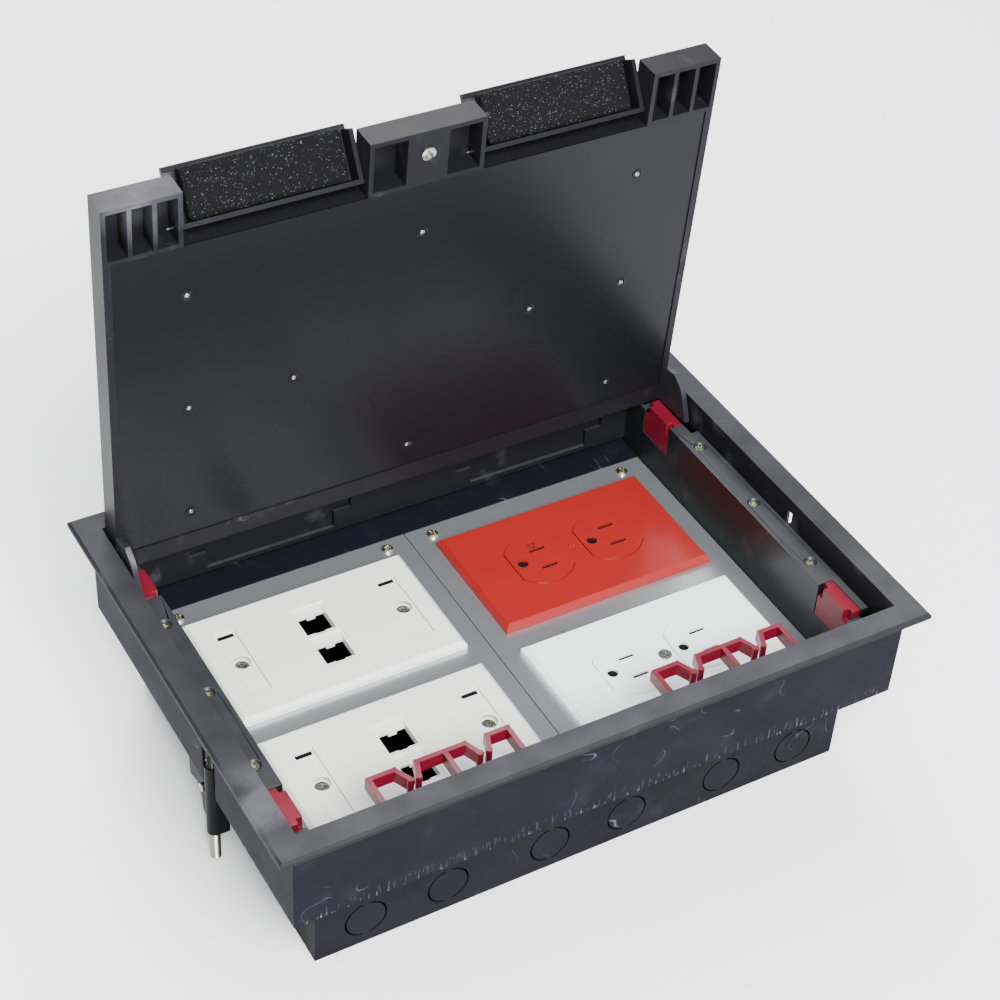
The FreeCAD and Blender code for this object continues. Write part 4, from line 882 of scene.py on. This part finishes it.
@dataclass
class DarkOpenings:
    """Black liners that stand in for the unlit depth of blind slots. Lengths are in millimetres."""
    outlet_pitch: float = 38.9
    sunk: float = 1.1           # top of a liner below the outlet's face
    blade: tuple[float, float] = (8.3, 1.9)
    blade_at: tuple[float, float] = (2.0, 6.35)
    earth: float = 2.5
    earth_at: float = -9.2
    thick: float = 0.3

    def build(self) -> None:
        """Make the liners of all four outlets and of the label strips' slots."""
        mesh = bmesh.new()
        for colour in ("red", "white"):
            low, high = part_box(colour + "_receptacle")
            top = high.z - self.sunk * MM
            for sign in (-1, 1):
                x = (low.x + high.x) / 2 + sign * self.outlet_pitch * MM / 2
                y = (low.y + high.y) / 2
                for across in (-1, 1):
                    self.liner(mesh, x + self.blade_at[0] * MM, y + across * self.blade_at[1] * MM, top, *self.blade)
                place = Matrix.Translation((x + self.earth_at * MM, y, top))
                turned(mesh, [(0, -1 * MM), (self.earth * MM, -1 * MM), (self.earth * MM, 0), (0, 0)], place, 24)
        covers = LabelCovers()
        for points in solids("label_covers"):
            low, high = points.min(axis=0), points.max(axis=0)
            self.liner(mesh, (low[0] + high[0]) / 2, high[1] - covers.slot_inset * MM, low[2] + self.thick * MM,
                       covers.slot_length, covers.slot_width)
        finished("dark_openings", mesh, DARK, "box", smooth=20.0)

    def liner(self, mesh: bmesh.types.BMesh, x: float, y: float, top: float, length: float, width: float) -> None:
        """Add one rectangular liner.

        Args:
            mesh: the mesh to add it to.
            x: its middle in metres.
            y: its middle in metres.
            top: the height of its top in metres.
            length: its size along x in millimetres.
            width: its size along y in millimetres.
        """
        size = Matrix.Diagonal((length * MM, width * MM, self.thick * MM, 1))
        place = Matrix.Translation((x, y, top - self.thick * MM / 2))
        bmesh.ops.create_cube(mesh, size=1.0, matrix=place @ size)


@dataclass
class OutletMark:
    """The small triangle on the red outlet that stands for a separate earth. Lengths are in millimetres."""
    side: float = 4.6
    line: float = 0.5
    proud: float = 0.04
    at: tuple[float, float] = (15.5, 9.6)   # from the receptacle's left side and from its middle line

    def build(self) -> None:
        """Make the mark on the left outlet's face, beside its earth opening."""
        low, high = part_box("red_receptacle")
        centre = Vector((low.x + self.at[0] * MM, (low.y + high.y) / 2 + self.at[1] * MM, high.z))
        mesh = bmesh.new()
        rings = []
        for reach in (self.side, self.side - 3 * self.line):
            radius = reach * MM / math.sqrt(3)
            rings.append([centre + Vector((radius * math.cos(a), radius * math.sin(a), 0))
                          for a in (math.radians(-90 + 120 * i) for i in range(3))])
        outer, inner = ([mesh.verts.new(p) for p in ring] for ring in rings)
        outer_up, inner_up = ([mesh.verts.new(p + UP * self.proud * MM) for p in ring] for ring in rings)
        for i in range(3):
            j = (i + 1) % 3
            for a, b in ((outer, inner), (inner_up, outer_up), (outer_up, outer), (inner, inner_up)):
                mesh.faces.new((a[i], a[j], b[j], b[i]))
        finished("separate_earth_mark", mesh, MARK, "box")


@dataclass
class JackSurrounds:
    """The latch ledges inside the data plates' four jack openings. Lengths are in millimetres."""
    reach: float = 3.6          # how far the rear ledge stands out
    tab: float = 4.4            # width of the latch tab and of the front notch
    tab_reach: float = 1.4
    lip: float = 1.3
    sunk: float = 1.7           # below the plate's face
    thick: float = 1.6

    def build(self) -> None:
        """Make the ledges in every opening that the record lists for a jack."""
        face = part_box("front_data_plate")[1].z
        top = face - self.sunk * MM
        mesh = bmesh.new()
        for opening in frame["record"]["physics"]["openings"]:
            if not opening["name"].endswith("_jack_opening"):
                continue
            low, high = (Vector(corner) for corner in opening["box_m"])
            x, half = (low.x + high.x) / 2, (high.x - low.x) / 2 + 0.25 * MM
            rear, front, tab = high.y + 0.3 * MM, low.y - 0.3 * MM, self.tab * MM / 2
            for x0, x1, y0, y1, rise in (
                    (x - half, x + half, rear - self.reach * MM, rear, 0.0),
                    (x - tab, x + tab, rear - (self.reach + self.tab_reach) * MM, rear - self.reach * MM, 0.5 * MM),
                    (x - half, x - tab, front, front + self.lip * MM, 0.0),
                    (x + tab, x + half, front, front + self.lip * MM, 0.0)):
                low_z, high_z = top - self.thick * MM, top + rise
                place = Matrix.Translation(((x0 + x1) / 2, (y0 + y1) / 2, (low_z + high_z) / 2))
                size = Matrix.Diagonal((x1 - x0, y1 - y0, high_z - low_z, 1))
                bmesh.ops.create_cube(mesh, size=1.0, matrix=place @ size)
        rounded(finished("jack_latch_ledges", mesh, DATA, "box", smooth=30.0), 0.25)


def rounded(piece: bpy.types.Object, width: float) -> None:
    """Round a piece's sharp edges.

    Args:
        piece: the object, whose mesh stays as it is.
        width: the rounding's width in millimetres.
    """
    weld = piece.modifiers.new("weld", "WELD")
    weld.merge_threshold = TOUCHING
    bevel = piece.modifiers.new("rounding", "BEVEL")
    bevel.width = width * MM
    bevel.segments = 2
    bevel.limit_method = "ANGLE"
    bevel.angle_limit = math.radians(SHARP)
    bevel.miter_outer = "MITER_ARC"
    bevel.face_strength_mode = "FSTR_ALL"
    normals = piece.modifiers.new("normals", "WEIGHTED_NORMAL")
    normals.keep_sharp = False
    normals.use_face_influence = True


def dress_cad() -> None:
    """Give every CAD node its finish and a small rounding on its edges."""
    for node, finish in NODE_FINISHES.items():
        piece = frame["nodes"][node]
        if not piece.data.materials:
            piece.data.materials.append(None)
        for slot in piece.material_slots:
            slot.material = finish_material(finish)
        if node in ROUNDED:
            rounded(piece, ROUNDED[node])
        log.info("%s: %s", node, finish.name)


# ---------------------------------------------------------------- stage

@dataclass(frozen=True)
class Lamp:
    """A square soft lamp that faces the box. Lengths are in metres."""
    name: str
    place: Triple
    size: float
    watts: float

    def build(self) -> None:
        """Hang the lamp."""
        light = bpy.data.lights.new(self.name, "AREA")
        light.size, light.energy = self.size, self.watts
        holder = bpy.data.objects.new(self.name, light)
        holder.location = self.place
        holder.rotation_euler = (BOX_MIDDLE - Vector(self.place)).to_track_quat("-Z", "Y").to_euler()
        bpy.context.scene.collection.objects.link(holder)


BOX_MIDDLE = Vector((0, 0, 0.1))
LAMPS = (
    Lamp("key", (-0.3, -1.3, 1.6), 1.0, 135.0),
    Lamp("fill", (1.5, -0.6, 1.2), 1.2, 5.0),
    Lamp("back", (0.35, 1.35, 1.25), 0.9, 42.0),
)


@dataclass
class Studio:
    """A pale floor, soft lamps and the camera. Lengths are in metres and angles in degrees."""
    eye: Triple = (-0.39708, -0.63526, 0.78025)
    pose: Triple = (49.3542, -3.031, -29.5461)
    lens: float = 80.72
    shift: tuple[float, float] = (-0.0048, -0.0018)
    floor: float = 6.0
    sky: float = 1.05
    sky_colour: str = "#f4f6fa"

    def build(self) -> None:
        """Set the stage."""
        mesh = bmesh.new()
        bmesh.ops.create_grid(mesh, x_segments=1, y_segments=1, size=self.floor)
        data = bpy.data.meshes.new("floor")
        mesh.to_mesh(data)
        mesh.free()
        floor = bpy.data.objects.new("floor", data)
        data.materials.append(finish_material(FLOOR))
        bpy.context.scene.collection.objects.link(floor)
        world = bpy.data.worlds.new("studio")
        world.use_nodes = True
        sky = world.node_tree.nodes["Background"]
        sky.inputs[0].default_value = linear(self.sky_colour)
        sky.inputs[1].default_value = self.sky
        bpy.context.scene.world = world
        for lamp in LAMPS:
            lamp.build()
        self.camera()

    def camera(self) -> None:
        """Stand the camera at the viewing angle."""
        data = bpy.data.cameras.new("camera")
        data.lens = self.lens
        data.shift_x, data.shift_y = self.shift
        data.clip_start, data.clip_end = 0.01, 50
        holder = bpy.data.objects.new("camera", data)
        holder.location = self.eye
        holder.rotation_euler = Euler([math.radians(a) for a in self.pose])
        bpy.context.scene.collection.objects.link(holder)
        bpy.context.scene.camera = holder


def fasteners() -> Iterable[CrossScrews]:
    """List the groups of cross-recess screws."""
    yield CrossScrews("mounting_screws", "box", YELLOW_ZINC, Head.PAN, share=0.85)
    yield CrossScrews("data_plate_screws", "box", ZINC, Head.PAN)
    yield CrossScrews("wall_plate_screws", "box", ZINC, Head.FLUSH, pick=0, name="zinc")
    yield CrossScrews("wall_plate_screws", "box", RED, Head.FLUSH, pick=1, name="red")
    yield CrossScrews("rail_screws", "box", YELLOW_ZINC, Head.FLUSH, sunk=1.0, share=0.74)
    yield CrossScrews("lid_centre_screw", "lid", ZINC, Head.PAN, axis=lid_normal())
    for side, sign in (("left", -1), ("right", 1)):
        yield CrossScrews(side + "_guide_screw", side + "_jaw", YELLOW_ZINC, Head.PAN,
                          axis=Vector((sign, 0, 0)), recess=0.4)


def main() -> None:
    """Build the stage, the finishes and every piece, in order."""
    logging.basicConfig(level=logging.INFO, format="%(name)s: %(message)s")
    Studio().build()
    dress_cad()
    for group in fasteners():
        group.build()
    LidRivets().build()
    for side in ("left", "right"):
        ThreadedJack(side).build()
        pad = Pad(side + "_foam", side + "_foam_pad", side + "_flap", FOAM, cell=0.9, crown=0.5, rough=0.3,
                  grain=1.1).build()
    Pad("lid_infill", "lid_carpet", "lid", CARPET, cell=2.2, crown=0.0, rough=0.35, grain=2.4, corner=0.8).build()
    LabelCovers().build()
    JackSurrounds().build()
    DarkOpenings().build()
    OutletMark().build()


if __name__ == "__main__":
    main()
